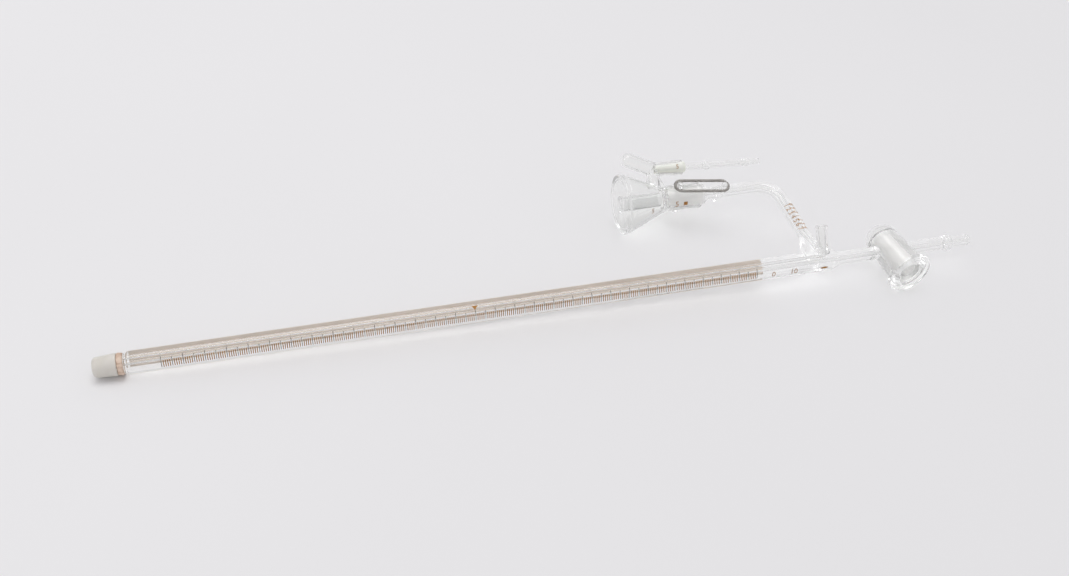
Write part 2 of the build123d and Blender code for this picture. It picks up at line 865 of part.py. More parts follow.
# ---- spring ------------------------------------------------------------------------------------------
# the loop lies flat over the joint, askew by as much as the two hooks are turned from each other
hook_way = outwards((arm_hook_angle + flask_hook_angle) / 2)
spring_height = socket_radius + spring_strand_radius + spring_gap
hook_offset = spring_height * tan(radians(arm_hook_angle - flask_hook_angle) / 2)
hook_span = Vector(arm_hook_x - flask_hook_x, -2 * hook_offset)
spring_middle = at((flask_hook_x + arm_hook_x) / 2, arm_offset).origin + hook_way * spring_height
hook_side = hook_way.cross(glass.x_dir)
spring_flat = Plane(
    origin=spring_middle,
    x_dir=glass.x_dir * hook_span.X + hook_side * hook_span.Y,
    z_dir=hook_way,
)
spring_reach = hook_radius + spring_gap + spring_strand_radius
spring_half_run = hook_span.length / 2 + spring_reach - spring_half_width

with BuildPart() as spring_loop:
    for lie in (-1, 1):
        strand_start = spring_flat.from_local_coords(Vector(-spring_half_run, lie * spring_half_width))
        with BuildSketch(Plane(origin=strand_start, x_dir=spring_flat.y_dir, z_dir=spring_flat.x_dir)):
            Circle(spring_strand_radius)
        extrude(amount=2 * spring_half_run)
        turn_start = spring_flat.from_local_coords(Vector(lie * spring_half_run, spring_half_width))
        turn_centre = spring_flat.from_local_coords(Vector(lie * spring_half_run, 0))
        with BuildSketch(Plane(origin=turn_start, x_dir=spring_flat.y_dir, z_dir=spring_flat.x_dir)):
            Circle(spring_strand_radius)
        revolve(axis=Axis(turn_centre, -lie * hook_way), revolution_arc=180)
spring_loop.part.label = "spring_loop"
export_step(spring_loop.part, "parts/spring_loop.step")
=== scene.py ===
import bmesh
import bpy
import json
import math
import random
from mathutils import Matrix, Vector


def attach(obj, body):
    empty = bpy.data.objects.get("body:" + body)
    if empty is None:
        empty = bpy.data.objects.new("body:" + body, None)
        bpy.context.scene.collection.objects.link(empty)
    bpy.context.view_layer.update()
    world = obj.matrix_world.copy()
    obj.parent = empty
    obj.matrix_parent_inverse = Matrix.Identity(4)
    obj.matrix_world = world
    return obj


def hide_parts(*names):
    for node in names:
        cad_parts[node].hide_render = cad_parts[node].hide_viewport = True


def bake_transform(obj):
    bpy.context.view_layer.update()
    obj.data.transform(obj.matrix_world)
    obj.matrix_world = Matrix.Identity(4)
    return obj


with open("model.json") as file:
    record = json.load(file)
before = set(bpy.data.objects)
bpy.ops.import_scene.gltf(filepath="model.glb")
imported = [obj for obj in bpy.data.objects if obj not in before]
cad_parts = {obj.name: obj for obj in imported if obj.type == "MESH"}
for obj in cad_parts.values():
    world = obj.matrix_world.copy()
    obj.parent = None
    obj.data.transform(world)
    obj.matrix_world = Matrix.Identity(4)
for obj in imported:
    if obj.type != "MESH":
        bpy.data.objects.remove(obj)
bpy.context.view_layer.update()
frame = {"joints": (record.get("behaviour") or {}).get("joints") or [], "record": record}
random.seed(7)

# The glass is drawn in millimetres in its own frame: x along the scale from its zero, y away from the
# reader, z up out of the glass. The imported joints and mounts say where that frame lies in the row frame.
anchors = {
    "hoseMiddle": 421.6,    # along the scale, the middle of the outlet's tip
    "flaskAway": 65.0,      # from the body's axis to the flask's axis
}
joints = {joint["name"]: joint for joint in frame["joints"]}
mounts = {mount["name"]: mount for mount in frame["record"]["mounts"]}
alongWay = -Vector(joints["cap_pull"]["axis"])
scaleZero = Vector(mounts["outlet_hose"]["pos_m"]) - alongWay * anchors["hoseMiddle"] * 0.001
toFlask = Vector(mounts["flask_base"]["pos_m"]) - scaleZero
awayWay = (toFlask - alongWay * toFlask.dot(alongWay)).normalized()
upWay = alongWay.cross(awayWay)
plugWay = Vector(joints["plug_turn"]["axis"])
glassTurn = Matrix((alongWay, awayWay, upWay)).transposed().to_4x4()
toRow = Matrix.Translation(scaleZero) @ glassTurn @ Matrix.Scale(0.001, 4)


# making and joining meshes
def addObject(name, data):
    made = bpy.data.objects.new(name, data)
    bpy.context.scene.collection.objects.link(made)
    return made


def solidFrom(verts, faces):
    mesh = bpy.data.meshes.new("solid")
    mesh.from_pydata(verts, [], faces)
    work = bmesh.new()
    work.from_mesh(mesh)
    bmesh.ops.recalc_face_normals(work, faces=work.faces)
    work.to_mesh(mesh)
    work.free()
    return addObject("solid", mesh)


def softened(outline, steps=6):
    # a third number on an outline point rounds its corner, from that far before it to that far after
    result = []
    for i, point in enumerate(outline):
        here = Vector(point[:2])
        if len(point) == 2:
            result.append(here)
            continue
        before = Vector(outline[i - 1][:2]) - here
        after = Vector(outline[i + 1][:2]) - here
        start = here + before.normalized() * min(point[2], 0.48 * before.length)
        end = here + after.normalized() * min(point[2], 0.48 * after.length)
        for step in range(steps + 1):
            t = step / steps
            result.append(start * (1 - t) ** 2 + here * 2 * t * (1 - t) + end * t**2)
    return result


def lathe(outline, place=Matrix(), turns=96):
    # an outline of (along, radius) points that starts and ends on the axis, spun about place's x axis
    verts, faces, rings = [], [], []
    for along, radius in softened(outline):
        count = turns if radius > 1e-6 else 1
        rings.append(range(len(verts), len(verts) + count))
        for k in range(count):
            angle = 2 * math.pi * k / turns
            verts.append(place @ Vector((along, radius * math.cos(angle), radius * math.sin(angle))))
    for one, two in zip(rings, rings[1:]):
        for k in range(turns):
            m = (k + 1) % turns
            corners = (one[k % len(one)], one[m % len(one)], two[m % len(two)], two[k % len(two)])
            faces.append(tuple(dict.fromkeys(corners)))
    return solidFrom(verts, [face for face in faces if len(face) > 2])


def stitched(rings, around, closed=False):
    # the faces between neighbouring rings of points, all of them around points long
    faces = []
    for i in range(rings if closed else rings - 1):
        n = (i + 1) % rings
        for k in range(around):
            m = (k + 1) % around
            faces.append((i * around + k, i * around + m, n * around + m, n * around + k))
    return faces


def sweep(stations, turns=48):
    # each station is (centre, way, half width in the glass plane, half height out of it)
    verts = []
    up = Vector((0, 0, 1))
    for centre, way, wide, high in stations:
        side = way.cross(up).normalized()
        for k in range(turns):
            angle = 2 * math.pi * k / turns
            verts.append(centre + side * wide * math.cos(angle) + up * high * math.sin(angle))
    faces = stitched(len(stations), turns)
    faces.append(tuple(range(turns)))
    faces.append(tuple(range((len(stations) - 1) * turns, len(stations) * turns)))
    return solidFrom(verts, faces)


def boolean(target, tools, operation):
    # joins the tools to the target, or cuts them out of it, one after another
    for tool in tools:
        step = target.modifiers.new("join", "BOOLEAN")
        step.operation = operation
        step.solver = "MANIFOLD"
        step.object = tool
    graph = bpy.context.evaluated_depsgraph_get()
    mesh = bpy.data.meshes.new_from_object(target.evaluated_get(graph))
    target.modifiers.clear()
    target.data = mesh
    for tool in tools:
        bpy.data.objects.remove(tool)
    return target


def dome(start, length, radius, step=6):
    # the outline of a rounded end, from its rim almost to the axis, a point every few degrees
    turns = [math.radians(step * k) for k in range(1, 90 // step)]
    return [(start + length * math.sin(turn), radius * math.cos(turn)) for turn in turns]


def fromLine(point, origin, way):
    # how far along a line a point lies, and the way to it square off the line
    local = point - origin
    along = local.dot(way)
    return along, local - way * along


def pointing(origin, way, up=Vector((0, 0, 1))):
    # a place whose x axis runs along way
    forward = Vector(way).normalized()
    side = up.cross(forward).normalized()
    return Matrix.Translation(origin) @ Matrix((forward, side, forward.cross(side))).transposed().to_4x4()


def finishPiece(piece, name, body, nodes, materials, choose=None, sharp=35):
    # shades a mesh, moves it from the glass frame to the row frame and ties it to its body
    piece.name = name
    mesh = piece.data
    mesh.name = name
    mesh.materials.clear()
    for material in materials:
        mesh.materials.append(material)
    for face in mesh.polygons:
        face.use_smooth = True
        face.material_index = choose(face.center, face.normal) if choose else 0
    mesh.set_sharp_from_angle(angle=math.radians(sharp))
    mesh.transform(toRow)
    mesh.update()
    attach(piece, body)
    if nodes:
        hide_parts(*nodes)
    print("made", name, len(mesh.polygons), "faces")
    return piece


# shader groups
def newGroup(name, inputs, outputs):
    group = bpy.data.node_groups.new(name, "ShaderNodeTree")
    for label, kind, value in inputs:
        socket = group.interface.new_socket(name=label, in_out="INPUT", socket_type=kind)
        if value is not None:
            socket.default_value = value
    for label, kind in outputs:
        group.interface.new_socket(name=label, in_out="OUTPUT", socket_type=kind)
    return group, group.nodes.new("NodeGroupInput"), group.nodes.new("NodeGroupOutput")


def addNode(tree, kind, **values):
    # values whose names start with a capital set input sockets, the others set the node's own settings
    made = tree.nodes.new(kind)
    for label, value in values.items():
        if label[0].isupper():
            made.inputs[label.replace("_", " ")].default_value = value
        else:
            setattr(made, label, value)
    return made


def join(tree, giver, output, taker, socket):
    tree.links.new(giver.outputs[output], taker.inputs[socket])


def mapRange(tree, value, low, high, toLow, toHigh):
    # low to high become toLow to toHigh; sockets may stand in for numbers
    made = tree.nodes.new("ShaderNodeMapRange")
    tree.links.new(value, made.inputs["Value"])
    for label, number in (("From Min", low), ("From Max", high), ("To Min", toLow), ("To Max", toHigh)):
        if isinstance(number, bpy.types.NodeSocket):
            tree.links.new(number, made.inputs[label])
        else:
            made.inputs[label].default_value = number
    return made.outputs["Result"]


def buildGroundGrain():
    # fine emery grain with slow cloudy patches, as a lapped joint has
    group, start, end = newGroup(
        "groundGrain",
        [("Vector", "NodeSocketVector", None), ("Grain", "NodeSocketFloat", 2500.0),
         ("Cloud", "NodeSocketFloat", 160.0), ("Smooth", "NodeSocketFloat", 0.3),
         ("Rough", "NodeSocketFloat", 0.5)],
        [("Roughness", "NodeSocketFloat"), ("Height", "NodeSocketFloat")],
    )
    grain = addNode(group, "ShaderNodeTexNoise", Detail=2.0)
    cloud = addNode(group, "ShaderNodeTexNoise", Detail=3.0)
    for texture, label in ((grain, "Grain"), (cloud, "Cloud")):
        join(group, start, "Vector", texture, "Vector")
        join(group, start, label, texture, "Scale")
    rough = mapRange(group, cloud.outputs["Fac"], 0.3, 0.7, start.outputs["Smooth"], start.outputs["Rough"])
    group.links.new(rough, end.inputs["Roughness"])
    join(group, grain, "Fac", end, "Height")
    return group


def buildHandWorked():
    # slow waves of hand-worked glass and faint lines drawn out along it
    group, start, end = newGroup(
        "handWorked",
        [("Vector", "NodeSocketVector", None), ("Waves", "NodeSocketFloat", 120.0),
         ("Lines", "NodeSocketFloat", 900.0), ("Share", "NodeSocketFloat", 0.3)],
        [("Height", "NodeSocketFloat"), ("Lines", "NodeSocketFloat")],
    )
    wave = addNode(group, "ShaderNodeTexNoise", Detail=1.0)
    join(group, start, "Vector", wave, "Vector")
    join(group, start, "Waves", wave, "Scale")
    stretch = addNode(group, "ShaderNodeMapping", Scale=(0.01, 1.0, 1.0))
    line = addNode(group, "ShaderNodeTexNoise", Detail=2.0)
    join(group, start, "Vector", stretch, "Vector")
    join(group, stretch, "Vector", line, "Vector")
    join(group, start, "Lines", line, "Scale")
    blend = addNode(group, "ShaderNodeMix", data_type="FLOAT")
    join(group, start, "Share", blend, "Factor")
    join(group, wave, "Fac", blend, "A")
    join(group, line, "Fac", blend, "B")
    join(group, blend, "Result", end, "Height")
    join(group, line, "Fac", end, "Lines")
    return group


def buildTintDrift():
    # a colour that drifts between two shades by a mask
    group, start, end = newGroup(
        "tintDrift",
        [("Mask", "NodeSocketFloat", 0.5), ("Low", "NodeSocketFloat", 0.3), ("High", "NodeSocketFloat", 0.7),
         ("Pale", "NodeSocketColor", (1, 1, 1, 1)), ("Deep", "NodeSocketColor", (0.5, 0.5, 0.5, 1))],
        [("Color", "NodeSocketColor")],
    )
    share = mapRange(group, start.outputs["Mask"], start.outputs["Low"], start.outputs["High"], 0.0, 1.0)
    blend = addNode(group, "ShaderNodeMix", data_type="RGBA")
    group.links.new(share, blend.inputs["Factor"])
    join(group, start, "Pale", blend, 6)
    join(group, start, "Deep", blend, 7)
    join(group, blend, 2, end, "Color")
    return group


groundGrain = buildGroundGrain()
handWorked = buildHandWorked()
tintDrift = buildTintDrift()


def placeGroup(tree, group, **values):
    made = tree.nodes.new("ShaderNodeGroup")
    made.node_tree = group
    for label, value in values.items():
        made.inputs[label].default_value = value
    return made


def newMaterial(name):
    material = bpy.data.materials.new(name)
    material.use_nodes = True
    tree = material.node_tree
    shader = tree.nodes["Principled BSDF"]
    spot = tree.nodes.new("ShaderNodeTexCoord")
    return material, tree, shader, spot.outputs["Object"]


mostBends = 3.0


def letLampsThrough(tree, shader, shade):
    # lamps reach what lies behind the glass, a little dimmed, and light that has already bent
    # more than mostBends times goes straight on, so thick rims stay pale
    path = tree.nodes.new("ShaderNodeLightPath")
    clear = addNode(tree, "ShaderNodeBsdfTransparent", Color=(*shade, 1))
    often = addNode(tree, "ShaderNodeMath", operation="GREATER_THAN")
    often.inputs[1].default_value = mostBends
    join(tree, path, "Ray Depth", often, 0)
    either = addNode(tree, "ShaderNodeMath", operation="MAXIMUM")
    join(tree, path, "Is Shadow Ray", either, 0)
    join(tree, often, 0, either, 1)
    mix = tree.nodes.new("ShaderNodeMixShader")
    join(tree, either, 0, mix, "Fac")
    join(tree, shader, "BSDF", mix, 1)
    join(tree, clear, "BSDF", mix, 2)
    tree.links.new(mix.outputs["Shader"], tree.nodes["Material Output"].inputs["Surface"])


def makeFinish(name, look):
    # builds a material from its look: textures, the tint that drifts with one of them, what sets the
    # roughness, the shader's plain values, the bump and the shade that clear glass casts
    material, tree, shader, spot = newMaterial(name)
    made = {}
    for label, group in (("grain", groundGrain), ("worked", handWorked)):
        if label in look:
            made[label] = placeGroup(tree, group, **look[label])
            tree.links.new(spot, made[label].inputs["Vector"])
    if "drift" in look:
        texture, output, low, high = look["drift"]
        pale, deep = (*look["pale"], 1), (*look["deep"], 1)
        tint = placeGroup(tree, tintDrift, Low=low, High=high, Pale=pale, Deep=deep)
        tree.links.new(made[texture].outputs[output], tint.inputs["Mask"])
        join(tree, tint, "Color", shader, "Base Color")
    if "rough" in look:
        texture, output, *ends = look["rough"]
        rough = mapRange(tree, made[texture].outputs[output], *ends)
    else:
        rough = made["grain"].outputs["Roughness"]
    tree.links.new(rough, shader.inputs["Roughness"])
    for label, value in look.get("plain", {}).items():
        shader.inputs[label].default_value = value
    if "bump" in look:
        texture, strength, distance = look["bump"]
        bump = addNode(tree, "ShaderNodeBump", Strength=strength, Distance=distance)
        tree.links.new(made[texture].outputs["Height"], bump.inputs["Height"])
        join(tree, bump, "Normal", shader, "Normal")
    if "shade" in look:
        letLampsThrough(tree, shader, look["shade"])
    return material


clearGlass = makeFinish("clear_glass_finish", {
    "worked": {"Waves": 90.0, "Share": 0.35}, "rough": ("worked", "Lines", 0.45, 0.8, 0.0, 0.03),
    "plain": {"Base Color": (0.99, 0.992, 0.985, 1), "IOR": 1.47, "Transmission Weight": 1.0},
    "bump": ("worked", 1.0, 0.00006), "shade": (0.95, 0.953, 0.95),
})
groundGlass = makeFinish("ground_glass_finish", {
    "grain": {"Grain": 2600.0, "Smooth": 0.28, "Rough": 0.45},
    "plain": {"Base Color": (0.91, 0.905, 0.895, 1), "IOR": 1.47, "Transmission Weight": 0.8},
    "bump": ("grain", 1.0, 0.00003), "shade": (0.92, 0.92, 0.915),
})
greenGround = makeFinish("green_ground_finish", {
    "grain": {"Grain": 2600.0, "Smooth": 0.3, "Rough": 0.5},
    "plain": {"Base Color": (0.90, 0.905, 0.83, 1), "IOR": 1.47, "Transmission Weight": 0.8},
    "bump": ("grain", 1.0, 0.00004), "shade": (0.88, 0.90, 0.84),
})
opalGlass = makeFinish("opal_glass_finish", {
    "worked": {"Lines": 2200.0, "Share": 0.8}, "drift": ("worked", "Lines", 0.35, 0.65),
    "pale": (0.97, 0.87, 0.775), "deep": (0.86, 0.76, 0.665),
    "rough": ("worked", "Height", 0.3, 0.7, 0.35, 0.5), "bump": ("worked", 0.4, 0.00005),
})
milkyGlass = makeFinish("milky_glass_finish", {
    "grain": {"Grain": 1800.0, "Cloud": 220.0, "Smooth": 0.32, "Rough": 0.5},
    "worked": {"Waves": 260.0, "Share": 0.2}, "drift": ("worked", "Height", 0.35, 0.65),
    "pale": (0.97, 0.94, 0.89), "deep": (0.90, 0.87, 0.81),
    "plain": {"Transmission Weight": 0.45, "IOR": 1.45}, "bump": ("grain", 0.6, 0.00003),
})
brownSeal = makeFinish("brown_seal_finish", {
    "grain": {"Grain": 1500.0, "Cloud": 420.0, "Smooth": 0.35, "Rough": 0.6},
    "worked": {"Waves": 420.0, "Lines": 1800.0, "Share": 0.35}, "drift": ("worked", "Height", 0.42, 0.72),
    "pale": (0.74, 0.58, 0.47), "deep": (0.38, 0.22, 0.13), "bump": ("worked", 0.8, 0.0003),
})
springSteel = makeFinish("spring_steel_finish", {
    "grain": {"Grain": 3000.0, "Cloud": 700.0, "Smooth": 0.25, "Rough": 0.5},
    "drift": ("grain", "Height", 0.4, 0.62), "pale": (0.62, 0.60, 0.57), "deep": (0.24, 0.22, 0.21),
    "plain": {"Metallic": 0.9}, "bump": ("grain", 0.4, 0.00003),
})
# the fired-on stains are uneven along their lines
stainLook = {"grain": {"Grain": 1600.0, "Cloud": 500.0, "Smooth": 0.35, "Rough": 0.6},
             "drift": ("grain", "Height", 0.38, 0.62), "plain": {"Specular IOR Level": 0.2}}
amberPrint, darkPrint, faintPrint = (
    makeFinish(name, {**stainLook, "pale": pale, "deep": deep}) for name, pale, deep in (
        ("amber_print_finish", (0.47, 0.235, 0.06), (0.27, 0.115, 0.025)),
        ("dark_print_finish", (0.24, 0.20, 0.17), (0.13, 0.105, 0.085)),
        ("faint_print_finish", (0.50, 0.46, 0.41), (0.36, 0.32, 0.27))))
print("materials ready")

# camera, light and floor
cameraSet = {"place": (-0.148871, -0.462349, 0.383535), "right": (0.965874, -0.254413, 0.048602),
             "up": (0.123904, 0.618613, 0.775865), "lens": 39.129}


def makeCamera():
    data = bpy.data.cameras.new("camera")
    data.lens = cameraSet["lens"]
    data.clip_start = 0.01
    camera = addObject("camera", data)
    right, up = Vector(cameraSet["right"]), Vector(cameraSet["up"])
    turn = Matrix((right, up, right.cross(up))).transposed().to_4x4()
    camera.matrix_world = Matrix.Translation(cameraSet["place"]) @ turn
    bpy.context.scene.camera = camera


lightSet = {
    "overhead": {"place": (-0.1, 0.5, 2.4), "size": 1.6, "power": 16.5, "aim": (0.0, 0.0, 0.0)},
    "left": {"place": (-1.6, 0.2, 1.2), "size": 0.8, "power": 3.5, "aim": (0.0, 0.0, 0.0)},
}
roomSet = {"floor": (0.81, 0.805, 0.815), "shown": (0.79, 0.785, 0.80), "fill": (0.80, 0.795, 0.805),
           "fillStrength": 0.86, "horizon": 0.84, "zenith": 1.12, "lowSky": 0.05, "highSky": 0.75,
           "floorSize": 4.0, "floorDrop": -0.0002}


def makeLights():
    for name, values in lightSet.items():
        data = bpy.data.lights.new(name, "AREA")
        data.shape = "DISK"
        data.size = values["size"]
        data.energy = values["power"]
        lamp = addObject(name, data)
        way = Vector(values["aim"]) - Vector(values["place"])
        lamp.rotation_euler = way.to_track_quat("-Z", "Y").to_euler()
        lamp.location = values["place"]


def makeFloor():
    half = roomSet["floorSize"]
    corners = [(-half, -half, 0), (half, -half, 0), (half, half, 0), (-half, half, 0)]
    mesh = bpy.data.meshes.new("floor")
    mesh.from_pydata(corners, [], [(0, 1, 2, 3)])
    floor = addObject("floor", mesh)
    floor.location.z = roomSet["floorDrop"]
    material, tree, shader, spot = newMaterial("floor_finish")
    paper = addNode(tree, "ShaderNodeTexNoise", Scale=3.0, Detail=2.0)
    tint = placeGroup(tree, tintDrift, Low=0.3, High=0.7, Pale=(*roomSet["floor"], 1),
                      Deep=(*[c * 0.985 for c in roomSet["floor"]], 1))
    tree.links.new(spot, paper.inputs["Vector"])
    join(tree, paper, "Fac", tint, "Mask")
    join(tree, tint, "Color", shader, "Base Color")
    shader.inputs["Roughness"].default_value = 0.7
    shader.inputs["Specular IOR Level"].default_value = 0.2
    mesh.materials.append(material)


def makeWorld():
    world = bpy.data.worlds.new("studio")
    bpy.context.scene.world = world
    world.use_nodes = True
    tree = world.node_tree
    tree.nodes.clear()
    output = tree.nodes.new("ShaderNodeOutputWorld")
    path = tree.nodes.new("ShaderNodeLightPath")
    fill = addNode(tree, "ShaderNodeBackground", Color=(*roomSet["fill"], 1))
    fill.inputs["Strength"].default_value = roomSet["fillStrength"]
    shown = addNode(tree, "ShaderNodeBackground", Color=(*roomSet["shown"], 1), Strength=1.0)
    spot = tree.nodes.new("ShaderNodeTexCoord")
    parts = tree.nodes.new("ShaderNodeSeparateXYZ")
    join(tree, spot, "Generated", parts, "Vector")
    room = mapRange(tree, parts.outputs["Z"], roomSet["lowSky"], roomSet["highSky"], roomSet["horizon"],
                    roomSet["zenith"])
    seen = addNode(tree, "ShaderNodeBackground", Color=(*roomSet["fill"], 1))
    tree.links.new(room, seen.inputs["Strength"])
    glossyOrThrough = addNode(tree, "ShaderNodeMath", operation="MAXIMUM")
    join(tree, path, "Is Glossy Ray", glossyOrThrough, 0)
    join(tree, path, "Is Transmission Ray", glossyOrThrough, 1)
    first = tree.nodes.new("ShaderNodeMixShader")
    join(tree, glossyOrThrough, 0, first, "Fac")
    join(tree, fill, "Background", first, 1)
    join(tree, seen, "Background", first, 2)
    second = tree.nodes.new("ShaderNodeMixShader")
    join(tree, path, "Is Camera Ray", second, "Fac")
    join(tree, first, "Shader", second, 1)
    join(tree, shown, "Background", second, 2)
    join(tree, second, "Shader", output, "Surface")


makeCamera()
makeLights()
makeFloor()
makeWorld()
bpy.context.scene.view_settings.view_transform = "Standard"
print("camera, light and floor ready")

# the fused glass of the manometer: body, link, barrel, outlet, open limb, arm, male cone and hooks
bodySet = {"start": -15.0, "end": 345.0, "radius": 5.6, "neckEnd": -17.0, "neckRadius": 4.9,
           "coneRadius": 4.3, "coneEnd": -29.0, "coneEndRadius": 3.94, "bore": 0.8, "openBoreRise": 3.0,
           "shoulder": 349.0}
linkSet = {"radius": 3.5, "oliveStart": 412.7, "oliveEnd": 416.1, "oliveRadius": 4.5,
           "tipRadius": 3.0, "tip": 427.1, "mouthBore": 1.4, "mouthFlare": 3.0}
barrelSet = {"x": 380.5, "front": -18.8, "back": 9.0, "flangeRadius": 12.0, "flangeThick": 2.6,
             "frontBore": 6.5, "taper": 0.05, "wall": 3.5, "domeLength": 7.9, "domeWall": 1.6,
             "groundOut": 6.7}
limbSet = {"x": 340.2, "angle": 57.0, "reach": 19.0, "radius": 2.8, "rimRadius": 3.2, "rimLength": 1.2,
           "bore": 1.6, "flare": 4.3}
armSet = {"x": 339.0, "radius": 3.4, "bore": 0.9, "footX": 336.5, "footY": 3.0, "footLength": 8.0,
          "footHeight": 4.6, "footReach": 21.0, "bendRadius": 12.0, "runEnd": 299.0, "flarePower": 1.35}
coneSet = {"shoulder": 295.5, "mouth": 293.5, "mouthRadius": 5.5, "start": 274.0, "taper": 0.05,
           "tipBore": 1.6, "tipFlare": 4.0, "leastRadius": 4.0, "mostRadius": 5.8}
hookSet = {"armX": 306.0, "armAngle": 118.0, "flaskX": 281.0, "flaskAngle": 94.0, "radius": 1.3,
           "tipRadius": 1.75, "top": 10.75, "sink": 0.8}
groundFacing = 0.8      # how squarely a face has to look at the plug's axis, or off it, to be ground
flaskAway = anchors["flaskAway"]
cockWay = Vector((plugWay.dot(alongWay), plugWay.dot(awayWay), plugWay.dot(upWay))).normalized()
cockCentre = Vector((barrelSet["x"], 0, 0))
cockPlace = pointing(cockCentre, cockWay)


def boreRadiusAt(y):
    return barrelSet["frontBore"] - barrelSet["taper"] * (y - barrelSet["front"])


def straightBody():
    b, link = bodySet, linkSet
    oliveMiddle = (link["oliveStart"] + link["oliveEnd"]) / 2
    return lathe([
        (b["coneEnd"], 0), (b["coneEnd"], b["coneEndRadius"], 0.6), (b["neckEnd"], b["coneRadius"], 0.3),
        (b["neckEnd"], b["neckRadius"], 0.5), (b["start"] - 0.4, b["neckRadius"], 0.4),
        (b["start"], b["radius"], 0.9), (b["end"], b["radius"], 1.2), (b["shoulder"], link["radius"], 1.4),
        (link["oliveStart"], link["radius"], 0.8), (oliveMiddle - 0.4, link["oliveRadius"], 0.9),
        (oliveMiddle + 0.4, link["oliveRadius"], 0.9), (link["oliveEnd"], link["tipRadius"], 0.6),
        (link["tip"], link["tipRadius"], 0.7), (link["tip"], 0),
    ])


def barrelShell():
    b = barrelSet
    frontRadius = b["frontBore"] + b["wall"] - b["taper"] * b["flangeThick"]
    backRadius = boreRadiusAt(b["back"]) + b["wall"]
    return lathe([
        (b["front"], 0), (b["front"], b["flangeRadius"], 0.7),
        (b["front"] + b["flangeThick"], b["flangeRadius"], 0.8),
        (b["front"] + b["flangeThick"], frontRadius, 1.0), (b["back"], backRadius),
        *dome(b["back"], b["domeLength"], backRadius), (b["back"] + b["domeLength"], 0),
    ], cockPlace)


def barrelVoid():
    b = barrelSet
    insideRadius = boreRadiusAt(b["back"]) + b["wall"] - b["domeWall"]
    depth = b["domeLength"] - b["domeWall"]
    return lathe([
        (b["front"] - 1, 0), (b["front"] - 1, boreRadiusAt(b["front"] - 1)),
        (b["front"] + 0.6, boreRadiusAt(b["front"] + 0.6)), (b["back"], boreRadiusAt(b["back"])),
        (b["back"] + 0.3, insideRadius), *dome(b["back"], depth, insideRadius), (b["back"] + depth, 0),
    ], cockPlace)


def limbWay():
    angle = math.radians(limbSet["angle"])
    return Vector((0, math.cos(angle), math.sin(angle)))


def openLimb():
    s = limbSet
    rimStart = s["reach"] - s["rimLength"]
    return lathe([
        (0, 0), (0, s["flare"]), (4.5, s["flare"], 1.0), (8.5, s["radius"], 2.5),
        (rimStart, s["radius"], 0.4), (rimStart + 0.3, s["rimRadius"], 0.4),
        (s["reach"], s["rimRadius"], 0.5), (s["reach"], 0),
    ], pointing((s["x"], 0, 0), limbWay(), Vector((1, 0, 0))), 64)


def armStations(inside):
    # the capillary arm from its foot on the body to the tip of the male cone, or its bore
    s, cone = armSet, coneSet
    bendY = flaskAway - s["bendRadius"]
    bendX = s["x"] - s["bendRadius"]
    away, back = Vector((0, 1, 0)), Vector((-1, 0, 0))
    stations = []
    if inside:
        stations.append((Vector((s["x"], 0, 0)), away, s["bore"], s["bore"]))
    else:
        for k in range(13):
            t = k / 12
            flare = (1 - t) ** s["flarePower"]
            x = s["x"] + (s["footX"] - s["x"]) * (1 - t)
            centre = Vector((x, s["footY"] + (s["footReach"] - s["footY"]) * t, 0))
            wide = s["radius"] + (s["footLength"] - s["radius"]) * flare
            high = s["radius"] + (s["footHeight"] - s["radius"]) * flare
            stations.append((centre, away, wide, high))
    size = s["bore"] if inside else s["radius"]
    for k in range(17):
        turn = math.pi / 2 * k / 16
        way = away * math.cos(turn) + back * math.sin(turn)
        centre = Vector((bendX + s["bendRadius"] * math.cos(turn),
                         bendY + s["bendRadius"] * math.sin(turn), 0))
        stations.append((centre, way, size, size))
    wide, narrow = (cone["mouthRadius"] + cone["taper"] * (x - cone["mouth"])
                    for x in (cone["shoulder"], cone["start"]))
    if inside:
        ends = [(cone["start"] + cone["tipFlare"], size), (cone["start"] - 0.1, cone["tipBore"])]
    else:
        ends = [(s["runEnd"] + 0.6, size), (s["runEnd"] - 0.3, size + 0.15),
                (cone["shoulder"] + 1.0, wide - 0.5), (cone["shoulder"] + 0.3, wide - 0.05),
                (cone["shoulder"], wide), (cone["start"] + 0.3, narrow), (cone["start"], narrow - 0.3)]
    for x, radius in ends:
        stations.append((Vector((x, flaskAway, 0)), back, radius, radius))
    return stations


def glassHook(x, surface, degrees):
    s = hookSet
    angle = math.radians(degrees)
    way = Vector((0, math.cos(angle), math.sin(angle)))
    return lathe([
        (surface - s["sink"], 0), (surface - s["sink"], s["radius"] + 1.0),
        (surface, s["radius"] + 0.9, 0.4), (surface + 1.1, s["radius"], 0.8),
        (s["top"] - 1.9, s["radius"], 0.6), (s["top"] - 0.9, s["tipRadius"], 0.6),
        (s["top"], s["tipRadius"] - 0.3, 0.8), (s["top"], 0),
    ], pointing((x, flaskAway, 0), way, Vector((1, 0, 0))), 40)


def rod(start, end, radius, turns=32):
    span = Vector(end) - Vector(start)
    side = Vector((1, 0, 0)) if abs(span.normalized().x) < 0.9 else Vector((0, 0, 1))
    outline = [(0, 0), (0, radius), (span.length, radius), (span.length, 0)]
    return lathe(outline, pointing(start, span, side), turns)


def hookPair(x, surface, degrees):
    return [glassHook(x, surface, degrees + turn) for turn in (0, 180)]


